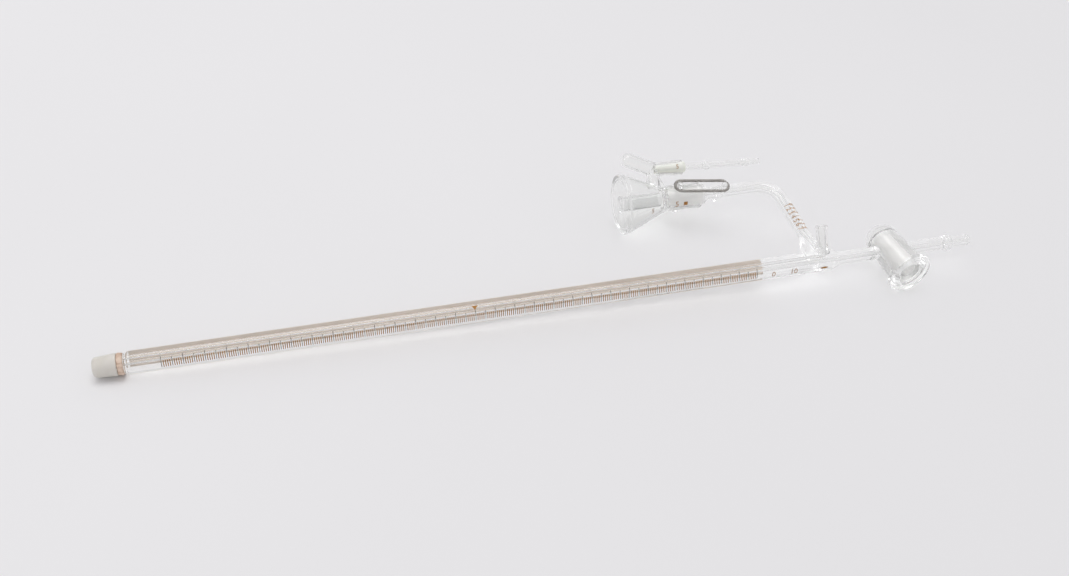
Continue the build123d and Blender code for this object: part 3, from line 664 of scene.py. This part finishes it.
def makeManometerGlass():
    b, link, limb = bodySet, linkSet, limbSet
    glass = straightBody()
    shells = [barrelShell(), openLimb(), sweep(armStations(False)),
              *hookPair(hookSet["armX"], armSet["radius"], hookSet["armAngle"])]
    boolean(glass, shells, "UNION")
    way = limbWay()
    gasBore = lathe([
        (b["coneEnd"] - 1, 0), (b["coneEnd"] - 1, b["bore"]),
        (link["tip"] - link["mouthFlare"], b["bore"], 0.6), (link["tip"], link["mouthBore"]),
        (link["tip"] + 1, link["mouthBore"] + 0.2), (link["tip"] + 1, 0),
    ], turns=32)
    openBore = rod((b["coneEnd"] - 1, 0, b["openBoreRise"]), (limb["x"], 0, b["openBoreRise"]), b["bore"])
    limbStart = Vector((limb["x"], 0, 0)) + way * b["openBoreRise"] * way.z
    limbBore = rod(limbStart, Vector((limb["x"], 0, 0)) + way * (limb["reach"] + 1), limb["bore"])
    boolean(glass, [gasBore, openBore, limbBore, sweep(armStations(True), 32), barrelVoid()], "DIFFERENCE")

    def finishAt(centre, normal):
        depth, offCock = fromLine(centre, cockCentre, cockWay)
        if barrelSet["front"] + 0.7 < depth < barrelSet["back"] and offCock.length < barrelSet["groundOut"]:
            return 1 if normal.dot(offCock.normalized()) < -groundFacing else 0
        offFlask = (centre - Vector((centre.x, flaskAway, 0))).length
        along = coneSet["start"] + 0.2 < centre.x < coneSet["shoulder"] - 0.1
        return 1 if along and coneSet["leastRadius"] < offFlask < coneSet["mostRadius"] else 0

    return finishPiece(glass, "manometer_glass", "manometer", [
        "scale_body", "body_head", "bottom_cone", "link_capillary", "stopcock_barrel", "barrel_dome",
        "outlet_tube", "open_limb", "arm_foot", "arm_capillary", "arm_bend", "arm_run", "male_cone",
        "arm_hooks",
    ], [clearGlass, groundGlass], finishAt)


makeManometerGlass()

# opal back, sunk just under the glass's skin
opalSet = {"start": -14.6, "end": 306.0, "outer": 5.5, "inner": 4.7, "turn": -2.0, "span": 104.0,
           "steps": 24}


def makeOpalStrip():
    s = opalSet
    verts, faces = [], []
    for x in (s["start"], s["end"]):
        for radius in (s["outer"], s["inner"]):
            for k in range(s["steps"] + 1):
                angle = math.radians(s["turn"] - s["span"] / 2 + s["span"] * k / s["steps"])
                verts.append(Vector((x, radius * math.cos(angle), radius * math.sin(angle))))
    row = s["steps"] + 1
    rings = [list(range(0, row)) + list(range(2 * row - 1, row - 1, -1)),
             list(range(2 * row, 3 * row)) + list(range(4 * row - 1, 3 * row - 1, -1))]
    for k in range(2 * row):
        m = (k + 1) % (2 * row)
        faces.append((rings[0][k], rings[0][m], rings[1][m], rings[1][k]))
    for k in range(s["steps"]):
        for base in (0, 2 * row):
            faces.append((base + k, base + k + 1, base + row + k + 1, base + row + k))
    strip = solidFrom(verts, faces)
    return finishPiece(strip, "opal_strip", "manometer", ["opal_back"], [opalGlass])


makeOpalStrip()

# cap and seal
capSet = {"mouth": -20.0, "tip": -31.0, "mouthRadius": 5.4, "tipRadius": 4.75, "rounding": 2.4, "wall": 1.1,
          "boreMouth": 4.36, "boreEnd": 4.0}
sealSet = {"start": -19.95, "end": -17.05, "radius": 5.45, "inside": 4.34, "unevenness": 0.2, "steps": 14,
           "turns": 80, "ripples": 5}


def makeCap():
    s = capSet
    cap = lathe([
        (s["tip"], 0), (s["tip"], s["tipRadius"], s["rounding"]), (s["mouth"] - 1.4, s["mouthRadius"], 0.8),
        (s["mouth"], s["mouthRadius"], 0.4), (s["mouth"], s["boreMouth"], 0.2),
        (s["tip"] + s["wall"] + 0.2, s["boreEnd"], 0.8), (s["tip"] + s["wall"], 0),
    ])
    return finishPiece(cap, "cap_shell", "cap", ["reservoir_cap"], [milkyGlass], sharp=50)


def makeSeal():
    s = sealSet
    verts = []
    ripples = [(random.uniform(0, 6.3), random.randint(2, 9)) for _ in range(s["ripples"])]
    section = [(s["start"], s["inside"])]
    for k in range(s["steps"] + 1):
        t = k / s["steps"]
        bulge = math.sin(math.pi * t) ** 0.35
        section.append((s["start"] + (s["end"] - s["start"]) * t, s["radius"] - 0.7 + 0.6 * bulge))
    section.append((s["end"], s["inside"]))
    for k in range(s["turns"]):
        angle = 2 * math.pi * k / s["turns"]
        wave = sum(math.sin(n * angle + shift) for shift, n in ripples) / s["ripples"]
        for i, (x, radius) in enumerate(section):
            inner = i in (0, len(section) - 1)
            grown = radius if inner else radius + s["unevenness"] * wave * math.sin(x * 2.1 + angle)
            verts.append(Vector((x, grown * math.cos(angle), grown * math.sin(angle))))
    seal = solidFrom(verts, stitched(s["turns"], len(section), closed=True))
    return finishPiece(seal, "cap_seal_band", "manometer", ["cap_seal"], [brownSeal], sharp=60)


makeCap()
makeSeal()

# stopcock plug: hollow, with the cross tube and the dished end disc fused in
plugSet = {"face": -17.4, "tail": 7.5, "clearance": 0.05, "wall": 1.2, "headDepth": 1.6, "dish": 0.7,
           "crossRadius": 2.2, "crossBore": 0.8}


def makePlug():
    s = plugSet
    floorAt = s["tail"] - s["wall"]
    headBack = s["face"] + s["headDepth"]

    def radiusAt(y):
        return boreRadiusAt(y) - s["clearance"]

    plug = lathe([
        (s["face"] + s["dish"], 0), (s["face"] + s["dish"], radiusAt(s["face"]) - 2.6, 0.8),
        (s["face"], radiusAt(s["face"]) - 0.9, 0.4), (s["face"], radiusAt(s["face"]), 0.35),
        (s["tail"], radiusAt(s["tail"]), 0.6), (s["tail"], 0),
    ], cockPlace)
    hollow = lathe([
        (headBack, 0), (headBack, radiusAt(headBack) - s["wall"], 0.6),
        (floorAt, radiusAt(floorAt) - s["wall"], 1.2), (floorAt, 0),
    ], cockPlace, 72)
    boolean(plug, [hollow], "DIFFERENCE")
    across = radiusAt(0) - 0.4
    x = barrelSet["x"]
    boolean(plug, [rod((x - across, 0, 0), (x + across, 0, 0), s["crossRadius"], 40)], "UNION")
    boolean(plug, [rod((x - 9, 0, 0), (x + 9, 0, 0), s["crossBore"])], "DIFFERENCE")

    def finishAt(centre, normal):
        depth, offCock = fromLine(centre, cockCentre, cockWay)
        onTaper = offCock.length > radiusAt(depth) - 0.15 and s["face"] + 0.3 < depth < s["tail"] - 0.5
        return 1 if onTaper and normal.dot(offCock.normalized()) > groundFacing else 0

    return finishPiece(plug, "plug_glass", "plug",
                       ["stopcock_plug", "cross_tube", "plug_head"], [clearGlass, groundGlass], finishAt)


makePlug()

# flask: body, neck and socket in one, with the centre well, side bulb, side socket and hooks
flaskSet = {"base": 247.0, "radius": 16.9, "edge": 2.2, "top": 272.0, "wall": 1.4, "neckRadius": 7.15,
            "mouth": 293.5, "lipRadius": 7.6, "lipLength": 1.6, "socketTop": 5.55, "socketBottom": 4.575,
            "socketStart": 274.0, "wellRadius": 4.0, "wellWall": 0.8, "wellHeight": 21.5}
sideSet = {"angle": 45.0, "knee": 268.5, "offset": 17.0, "bulbLean": 27.0, "bulbRadius": 4.1,
           "bulbLength": 19.0, "bulbWall": 1.0, "socketLean": 2.2, "socketRadius": 4.3, "socketLength": 17.0,
           "mouthRadius": 3.05, "taper": 0.07, "linkRadius": 3.6, "linkBore": 2.5}
flaskSlope = ((flaskSet["neckRadius"] - flaskSet["radius"])
              / (flaskSet["top"] - flaskSet["base"] - flaskSet["edge"]))
sideAngle = math.radians(sideSet["angle"])
sideWay = Vector((0, math.cos(sideAngle), math.sin(sideAngle)))
kneePoint = Vector((sideSet["knee"], flaskAway, 0)) + sideWay * sideSet["offset"]
bulbLean, socketLean = math.radians(sideSet["bulbLean"]), math.radians(sideSet["socketLean"])
bulbWay = sideWay * math.sin(bulbLean) - Vector((1, 0, 0)) * math.cos(bulbLean)
socketWay = Vector((1, 0, 0)) * math.cos(socketLean) - sideWay * math.sin(socketLean)
sideUp = Vector((1, 0, 0)).cross(sideWay)
socketPlace = pointing(kneePoint, socketWay, sideUp)


def roundEnded(start, end, radius, place, turns=56):
    rim = end - radius
    rounded = dome(rim, radius, radius, 9)
    return lathe([(start, 0), (start, radius), (rim, radius), *rounded, (end, 0)], place, turns)


def makeFlask():
    f, s = flaskSet, sideSet
    axis = Matrix.Translation((0, flaskAway, 0))
    flask = lathe([
        (f["base"], 0), (f["base"], f["radius"], 1.9),
        (f["base"] + f["edge"] + 0.6, f["radius"] - 0.2, 1.6), (f["top"], f["neckRadius"], 3.0),
        (f["mouth"] - f["lipLength"] - 0.4, f["neckRadius"], 0.5),
        (f["mouth"] - f["lipLength"] / 2, f["lipRadius"], 0.5), (f["mouth"], f["neckRadius"] - 0.1, 0.4),
        (f["mouth"], 0),
    ], axis, 128)
    bulbPlace = pointing(kneePoint, bulbWay, sideUp)
    shells = [
        lathe([(3, 0), (3, s["linkRadius"] + 2.2), (7.5, s["linkRadius"] + 1.8, 1.5),
               (12.0, s["linkRadius"], 2.0), (s["offset"], s["linkRadius"]), (s["offset"], 0)],
              pointing((s["knee"], flaskAway, 0), sideWay, Vector((1, 0, 0))), 56),
        roundEnded(-s["bulbRadius"] * 0.6, s["bulbLength"], s["bulbRadius"], bulbPlace),
        lathe([(-3, 0), (-3, s["socketRadius"] - 0.3), (s["socketLength"], s["socketRadius"], 0.5),
               (s["socketLength"], 0)], socketPlace, 56),
        *hookPair(hookSet["flaskX"], f["neckRadius"], hookSet["flaskAngle"]),
    ]
    boolean(flask, shells, "UNION")
    wallAlong = f["wall"] * math.hypot(1, flaskSlope)

    def insideAt(x):
        return f["radius"] + flaskSlope * (x - f["base"] - f["edge"]) - wallAlong

    floor = f["base"] + f["wall"]
    hollowStart = f["base"] + f["edge"] + f["wall"]
    voids = [
        lathe([
            (floor, 0), (floor, f["radius"] - f["edge"] - 0.6, 1.4),
            (hollowStart, insideAt(hollowStart), 1.4), (f["top"] - 1.5, insideAt(f["top"] - 1.5), 1.2),
            (f["top"], f["socketBottom"], 0.8), (f["socketStart"], f["socketBottom"]),
            (f["mouth"] - 0.4, f["socketTop"] - 0.02), (f["mouth"] + 0.5, f["socketTop"] + 0.4),
            (f["mouth"] + 0.5, 0),
        ], axis, 128),
        roundEnded(-0.5, s["bulbLength"] - s["bulbWall"], s["bulbRadius"] - s["bulbWall"], bulbPlace, 48),
        lathe([(-0.5, 0), (-0.5, s["mouthRadius"] - s["taper"] * (s["socketLength"] + 0.5)),
               (s["socketLength"], s["mouthRadius"]), (s["socketLength"] + 1, s["mouthRadius"]),
               (s["socketLength"] + 1, 0)], socketPlace, 48),
        rod(Vector((s["knee"], flaskAway, 0)) + sideWay * f["socketBottom"], kneePoint, s["linkBore"], 48),
        roundEnded(-s["linkBore"] * 0.2, s["linkBore"], s["linkBore"], bulbPlace, 48),
    ]
    boolean(flask, voids, "DIFFERENCE")
    wellTop = floor + f["wellHeight"]
    well = lathe([
        (floor - 0.5, 0), (floor - 0.5, f["wellRadius"] + 0.7), (floor + 0.3, f["wellRadius"] + 0.5, 0.4),
        (floor + 1.3, f["wellRadius"], 0.8), (wellTop, f["wellRadius"], 0.3),
        (wellTop, f["wellRadius"] - f["wellWall"], 0.3),
        (floor + 0.8, f["wellRadius"] - f["wellWall"], 1.2), (floor + 0.3, 0),
    ], axis, 64)
    boolean(flask, [well], "UNION")

    def finishAt(centre, normal):
        fromAxis = centre - Vector((centre.x, flaskAway, 0))
        if centre.x > f["socketStart"] - 0.5 and fromAxis.length < f["socketTop"] + 0.2:
            return 1
        depth, offLine = fromLine(centre, kneePoint, socketWay)
        return 1 if 1.0 < depth < s["socketLength"] - 0.2 and offLine.length < s["mouthRadius"] + 0.2 else 0

    return finishPiece(flask, "flask_glass", "flask", [
        "flask_socket", "flask_body", "centre_well", "side_bulb", "side_socket", "side_link", "flask_hooks",
    ], [clearGlass, groundGlass], finishAt)


makeFlask()

# venting stopper
stopperSet = {"tip": 1.0, "end": 18.8, "mouthRadius": 3.0, "taper": 0.07, "ventRadius": 1.9, "bead": 29.8,
              "beadLength": 3.6, "beadRadius": 2.7, "olive": 53.8, "oliveLength": 4.0, "oliveRadius": 2.8,
              "ventEnd": 63.8, "endRadius": 1.6, "bore": 0.7, "leastRadius": 1.5}


def makeStopper():
    s = stopperSet

    def coneAt(along):
        return s["mouthRadius"] - s["taper"] * (sideSet["socketLength"] - along)

    beadMiddle = s["bead"] + s["beadLength"] / 2
    oliveMiddle = s["olive"] + s["oliveLength"] / 2
    oliveEnd = s["olive"] + s["oliveLength"]
    stopper = lathe([
        (s["tip"], 0), (s["tip"], coneAt(s["tip"]), 0.3), (s["end"], coneAt(s["end"]), 0.5),
        (s["end"] + 0.1, s["ventRadius"] + 0.5, 0.4), (s["end"] + 2.0, s["ventRadius"], 1.0),
        (s["bead"], s["ventRadius"], 0.6), (beadMiddle - 0.5, s["beadRadius"], 0.9),
        (beadMiddle + 0.5, s["beadRadius"], 0.9), (s["bead"] + s["beadLength"], s["ventRadius"], 0.6),
        (s["olive"], s["ventRadius"], 0.6), (oliveMiddle, s["oliveRadius"], 1.2),
        (oliveEnd, s["endRadius"], 0.6), (s["ventEnd"], s["endRadius"], 0.4), (s["ventEnd"], 0),
    ], socketPlace, 64)
    past = s["ventEnd"] + 1
    bore = lathe([(0, 0), (0, s["bore"]), (past, s["bore"]), (past, 0)], socketPlace, 28)
    boolean(stopper, [bore], "DIFFERENCE")

    def finishAt(centre, normal):
        depth, offLine = fromLine(centre, kneePoint, socketWay)
        return 1 if s["tip"] + 0.2 < depth < s["end"] and offLine.length > s["leastRadius"] else 0

    return finishPiece(stopper, "stopper_glass", "stopper",
                       ["stopper_cone", "vent_tube"], [clearGlass, greenGround], finishAt)


makeStopper()

# spring: a close-coiled wire loop over the two upper hooks
springSet = {"middle": 293.5, "height": 8.4, "halfWidth": 3.45, "reach": 2.55, "wire": 0.27, "coil": 0.62,
             "pitch": 0.6, "pointsPerTurn": 12, "sides": 6}


def springPath(distance, s):
    # a point on the racetrack and the way along it, in the spring's own plane
    run, bend = 2 * s["halfRun"], math.pi * s["halfWidth"]
    if distance < run:
        return Vector((-s["halfRun"] + distance, -s["halfWidth"])), Vector((1, 0))
    if distance < run + bend:
        angle = (distance - run) / s["halfWidth"] - math.pi / 2
        turned = Vector((math.cos(angle), math.sin(angle)))
        return Vector((s["halfRun"], 0)) + turned * s["halfWidth"], Vector((-turned.y, turned.x))
    if distance < 2 * run + bend:
        return Vector((s["halfRun"] - (distance - run - bend), s["halfWidth"])), Vector((-1, 0))
    angle = (distance - 2 * run - bend) / s["halfWidth"] + math.pi / 2
    turned = Vector((math.cos(angle), math.sin(angle)))
    return Vector((-s["halfRun"], 0)) + turned * s["halfWidth"], Vector((-turned.y, turned.x))


def makeSpring():
    # the loop lies askew by as much as its two hooks are turned from each other
    angle = math.radians((hookSet["armAngle"] + hookSet["flaskAngle"]) / 2)
    apart = math.radians(hookSet["armAngle"] - hookSet["flaskAngle"])
    out = Vector((0, math.cos(angle), math.sin(angle)))
    across = out.cross(Vector((1, 0, 0)))
    span = Vector((hookSet["armX"] - hookSet["flaskX"], 0, 0))
    span -= across * 2 * springSet["height"] * math.tan(apart / 2)
    along = span.normalized()
    side = out.cross(along)
    s = {**springSet, "halfRun": span.length / 2 + springSet["reach"] - springSet["halfWidth"]}
    centre = Vector((s["middle"], flaskAway, 0)) + out * s["height"]
    length = 4 * s["halfRun"] + 2 * math.pi * s["halfWidth"]
    turns = round(length / s["pitch"])
    count = turns * s["pointsPerTurn"]
    line = []
    for k in range(count):
        flat, way = springPath(length * k / count, s)
        beside = Vector((-way.y, way.x))
        phase = 2 * math.pi * k / s["pointsPerTurn"]
        middle = centre + along * flat.x + side * flat.y
        line.append(middle + (along * beside.x + side * beside.y) * s["coil"] * math.cos(phase)
                    + out * s["coil"] * math.sin(phase))
    verts = []
    for k in range(count):
        way = (line[(k + 1) % count] - line[k - 1]).normalized()
        first = way.cross(out).normalized()
        second = way.cross(first)
        for m in range(s["sides"]):
            turn = 2 * math.pi * m / s["sides"]
            verts.append(line[k] + (first * math.cos(turn) + second * math.sin(turn)) * s["wire"])
    spring = solidFrom(verts, stitched(count, s["sides"], closed=True))
    spring.name = "spring_coil"
    spring.data.materials.append(springSteel)
    for face in spring.data.polygons:
        face.use_smooth = True
    spring.data.transform(toRow)
    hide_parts("spring_loop")
    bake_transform(spring)
    print("made spring_coil", len(spring.data.polygons), "faces")


makeSpring()

# fired-on print: scale, pointer, numbers and marks, each a thin raised film on the glass
printSet = {"marks": 300, "sink": 0.02, "stand": 0.03, "foot": -3.0, "fineTop": 36.0, "fiveTop": 46.0,
            "tenTop": 54.0, "fineWidth": 0.42, "fiveWidth": 0.32, "tenWidth": 0.34, "numberAngle": 62.0,
            "numberSize": 2.0, "pointerAt": 150.0, "pointerBase": 78.0, "pointerWidth": 3.2}


def onRod(place, radius, angle, start=0.0):
    # wraps flat (u, v) millimetres round a rod: u along it, v round it from angle; radius may follow u
    def wrap(u, v, lift):
        size = radius(start + u) if callable(radius) else radius
        turn = math.radians(angle) + v / size
        return place @ Vector((start + u, -(size + lift) * math.cos(turn), (size + lift) * math.sin(turn)))
    return wrap


def film(flatVerts, flatFaces, wrap):
    # closes a flat drawing into a thin film that follows the glass
    count = len(flatVerts)
    verts = [wrap(u, v, printSet["stand"]) for u, v in flatVerts]
    verts += [wrap(u, v, -printSet["sink"]) for u, v in flatVerts]
    faces = [tuple(face) for face in flatFaces]
    faces += [tuple(i + count for i in reversed(face)) for face in flatFaces]
    edges = {}
    for face in flatFaces:
        for a, b in zip(face, list(face[1:]) + [face[0]]):
            key = (min(a, b), max(a, b))
            edges[key] = None if key in edges else (a, b)
    faces += [(b, a, a + count, b + count) for a, b in filter(None, edges.values())]
    return verts, faces


def drawBar(width, low, high, steps=3):
    levels = [low + (high - low) * k / steps for k in range(steps + 1)]
    verts = [(side * width / 2, level) for level in levels for side in (-1, 1)]
    return verts, [(2 * k, 2 * k + 1, 2 * k + 3, 2 * k + 2) for k in range(steps)]


def drawText(text, size):
    curve = bpy.data.curves.new("number", "FONT")
    curve.body = text
    curve.size = size
    curve.align_x = "CENTER"
    curve.align_y = "CENTER"
    curve.resolution_u = 3
    holder = addObject("number", curve)
    graph = bpy.context.evaluated_depsgraph_get()
    mesh = bpy.data.meshes.new_from_object(holder.evaluated_get(graph))
    work = bmesh.new()
    work.from_mesh(mesh)
    bmesh.ops.remove_doubles(work, verts=work.verts, dist=1e-5)
    work.verts.index_update()
    verts = [(v.co.x, v.co.y) for v in work.verts]
    faces = [tuple(v.index for v in face.verts) for face in work.faces]
    work.free()
    bpy.data.objects.remove(holder)
    return verts, faces


def makePrinted(name, body, material, drawings):
    verts, faces = [], []
    for drawing, wrap in drawings:
        newVerts, newFaces = film(*drawing, wrap)
        faces += [tuple(i + len(verts) for i in face) for face in newFaces]
        verts += newVerts
    return finishPiece(solidFrom(verts, faces), name, body, [], [material])


def makeScale():
    s = printSet
    radius = bodySet["radius"]
    still = Matrix()
    groups = {"fine": [], "five": [], "ten": [], "numbers": []}
    for mark in range(s["marks"] + 1):
        kind = "ten" if mark % 10 == 0 else "five" if mark % 5 == 0 else "fine"
        low, high = (math.radians(a) * radius for a in (s["foot"], s[kind + "Top"]))
        groups[kind].append((drawBar(s[kind + "Width"], low, high), onRod(still, radius, 0.0, mark)))
        if mark % 10 == 0 and mark != s["pointerAt"]:
            text = drawText(str(mark // 10), s["numberSize"])
            groups["numbers"].append((text, onRod(still, radius, s["numberAngle"], mark)))
    makePrinted("scale_fine_lines", "manometer", amberPrint, groups["fine"])
    makePrinted("scale_five_lines", "manometer", darkPrint, groups["five"])
    makePrinted("scale_ten_lines", "manometer", darkPrint, groups["ten"])
    makePrinted("scale_numbers", "manometer", faintPrint, groups["numbers"])
    low, high = (math.radians(a) * radius for a in (s["tenTop"] + 1, s["pointerBase"]))
    half = s["pointerWidth"] / 2
    steps = 6
    verts = [(0.0, low)]
    for k in range(1, steps + 1):
        verts += [(side * half * k / steps, low + (high - low) * k / steps) for side in (-1, 1)]
    faces = [(0, 2, 1)] + [(2 * k - 1, 2 * k, 2 * k + 2, 2 * k + 1) for k in range(1, steps)]
    pointer = ((verts, faces), onRod(still, radius, 0.0, s["pointerAt"]))
    makePrinted("scale_pointer", "manometer", amberPrint, [pointer])


markSet = {"headMarks": [("0", 309.5), ("10", 321.0)], "headAngle": 7.0, "headSize": 4.2,
           "armLines": [("1 2 3 4 5 6 7", 58.0), ("8 9 0 1 2 3 4", 108.0)], "armMiddle": 33.5,
           "armSize": 4.2, "socketMark": ("5", 278.3), "socketSquare": 283.3, "squareSize": 2.2,
           "socketAngle": 7.0, "socketSize": 4.6, "flaskMark": ("5", 262.7), "flaskAngle": 9.0,
           "flaskSize": 4.0, "headStain": (338.6, 4.0, 2.4, 0.7), "sideMark": ("5", 13.5),
           "sideMarkAngle": 90.0, "sideMarkSize": 3.4}
blotSet = {"sides": 18, "least": 0.75, "most": 1.1}


def drawBlot(wide, high):
    # an uneven round patch, as a stain leaves
    sides = blotSet["sides"]
    verts = [(0.0, 0.0)]
    for k in range(sides):
        turn = 2 * math.pi * k / sides
        size = random.uniform(blotSet["least"], blotSet["most"])
        verts.append((wide * size * math.cos(turn), high * size * math.sin(turn)))
    return verts, [(0, 1 + k, 1 + (k + 1) % sides) for k in range(sides)]


def flaskRadiusAt(x):
    return flaskSet["radius"] - 0.05 + flaskSlope * (x - flaskSet["base"] - flaskSet["edge"])


def makeMarks():
    m = markSet
    still = Matrix()
    overFlask = Matrix.Translation((0, flaskAway, 0))
    head = [(drawText(text, m["headSize"]), onRod(still, bodySet["radius"], m["headAngle"], x))
            for text, x in m["headMarks"]]
    makePrinted("head_marks", "manometer", amberPrint, head)
    x, angle, wide, high = m["headStain"]
    stain = (drawBlot(wide, high), onRod(still, bodySet["radius"], angle, x))
    makePrinted("head_stain", "manometer", amberPrint, [stain])
    text, along = m["sideMark"]
    place = onRod(socketPlace, sideSet["socketRadius"], m["sideMarkAngle"], along)
    makePrinted("side_mark", "flask", amberPrint, [(drawText(text, m["sideMarkSize"]), place)])
    armPlace = pointing((armSet["x"], 0, 0), (0, -1, 0))
    arm = [(drawText(text, m["armSize"]), onRod(armPlace, armSet["radius"], angle, -m["armMiddle"]))
           for text, angle in m["armLines"]]
    makePrinted("arm_numbers", "manometer", amberPrint, arm)
    half = m["squareSize"] / 2
    text, x = m["socketMark"]
    square = drawBar(m["squareSize"], -half, half)
    socket = [(drawText(text, m["socketSize"]), x), (square, m["socketSquare"])]
    makePrinted("socket_marks", "flask", amberPrint, [
        (drawing, onRod(overFlask, flaskSet["neckRadius"], m["socketAngle"], x)) for drawing, x in socket])
    text, x = m["flaskMark"]
    flask = (drawText(text, m["flaskSize"]), onRod(overFlask, flaskRadiusAt, m["flaskAngle"], x))
    makePrinted("flask_mark", "flask", amberPrint, [flask])


makeScale()
makeMarks()

print("all pieces made")
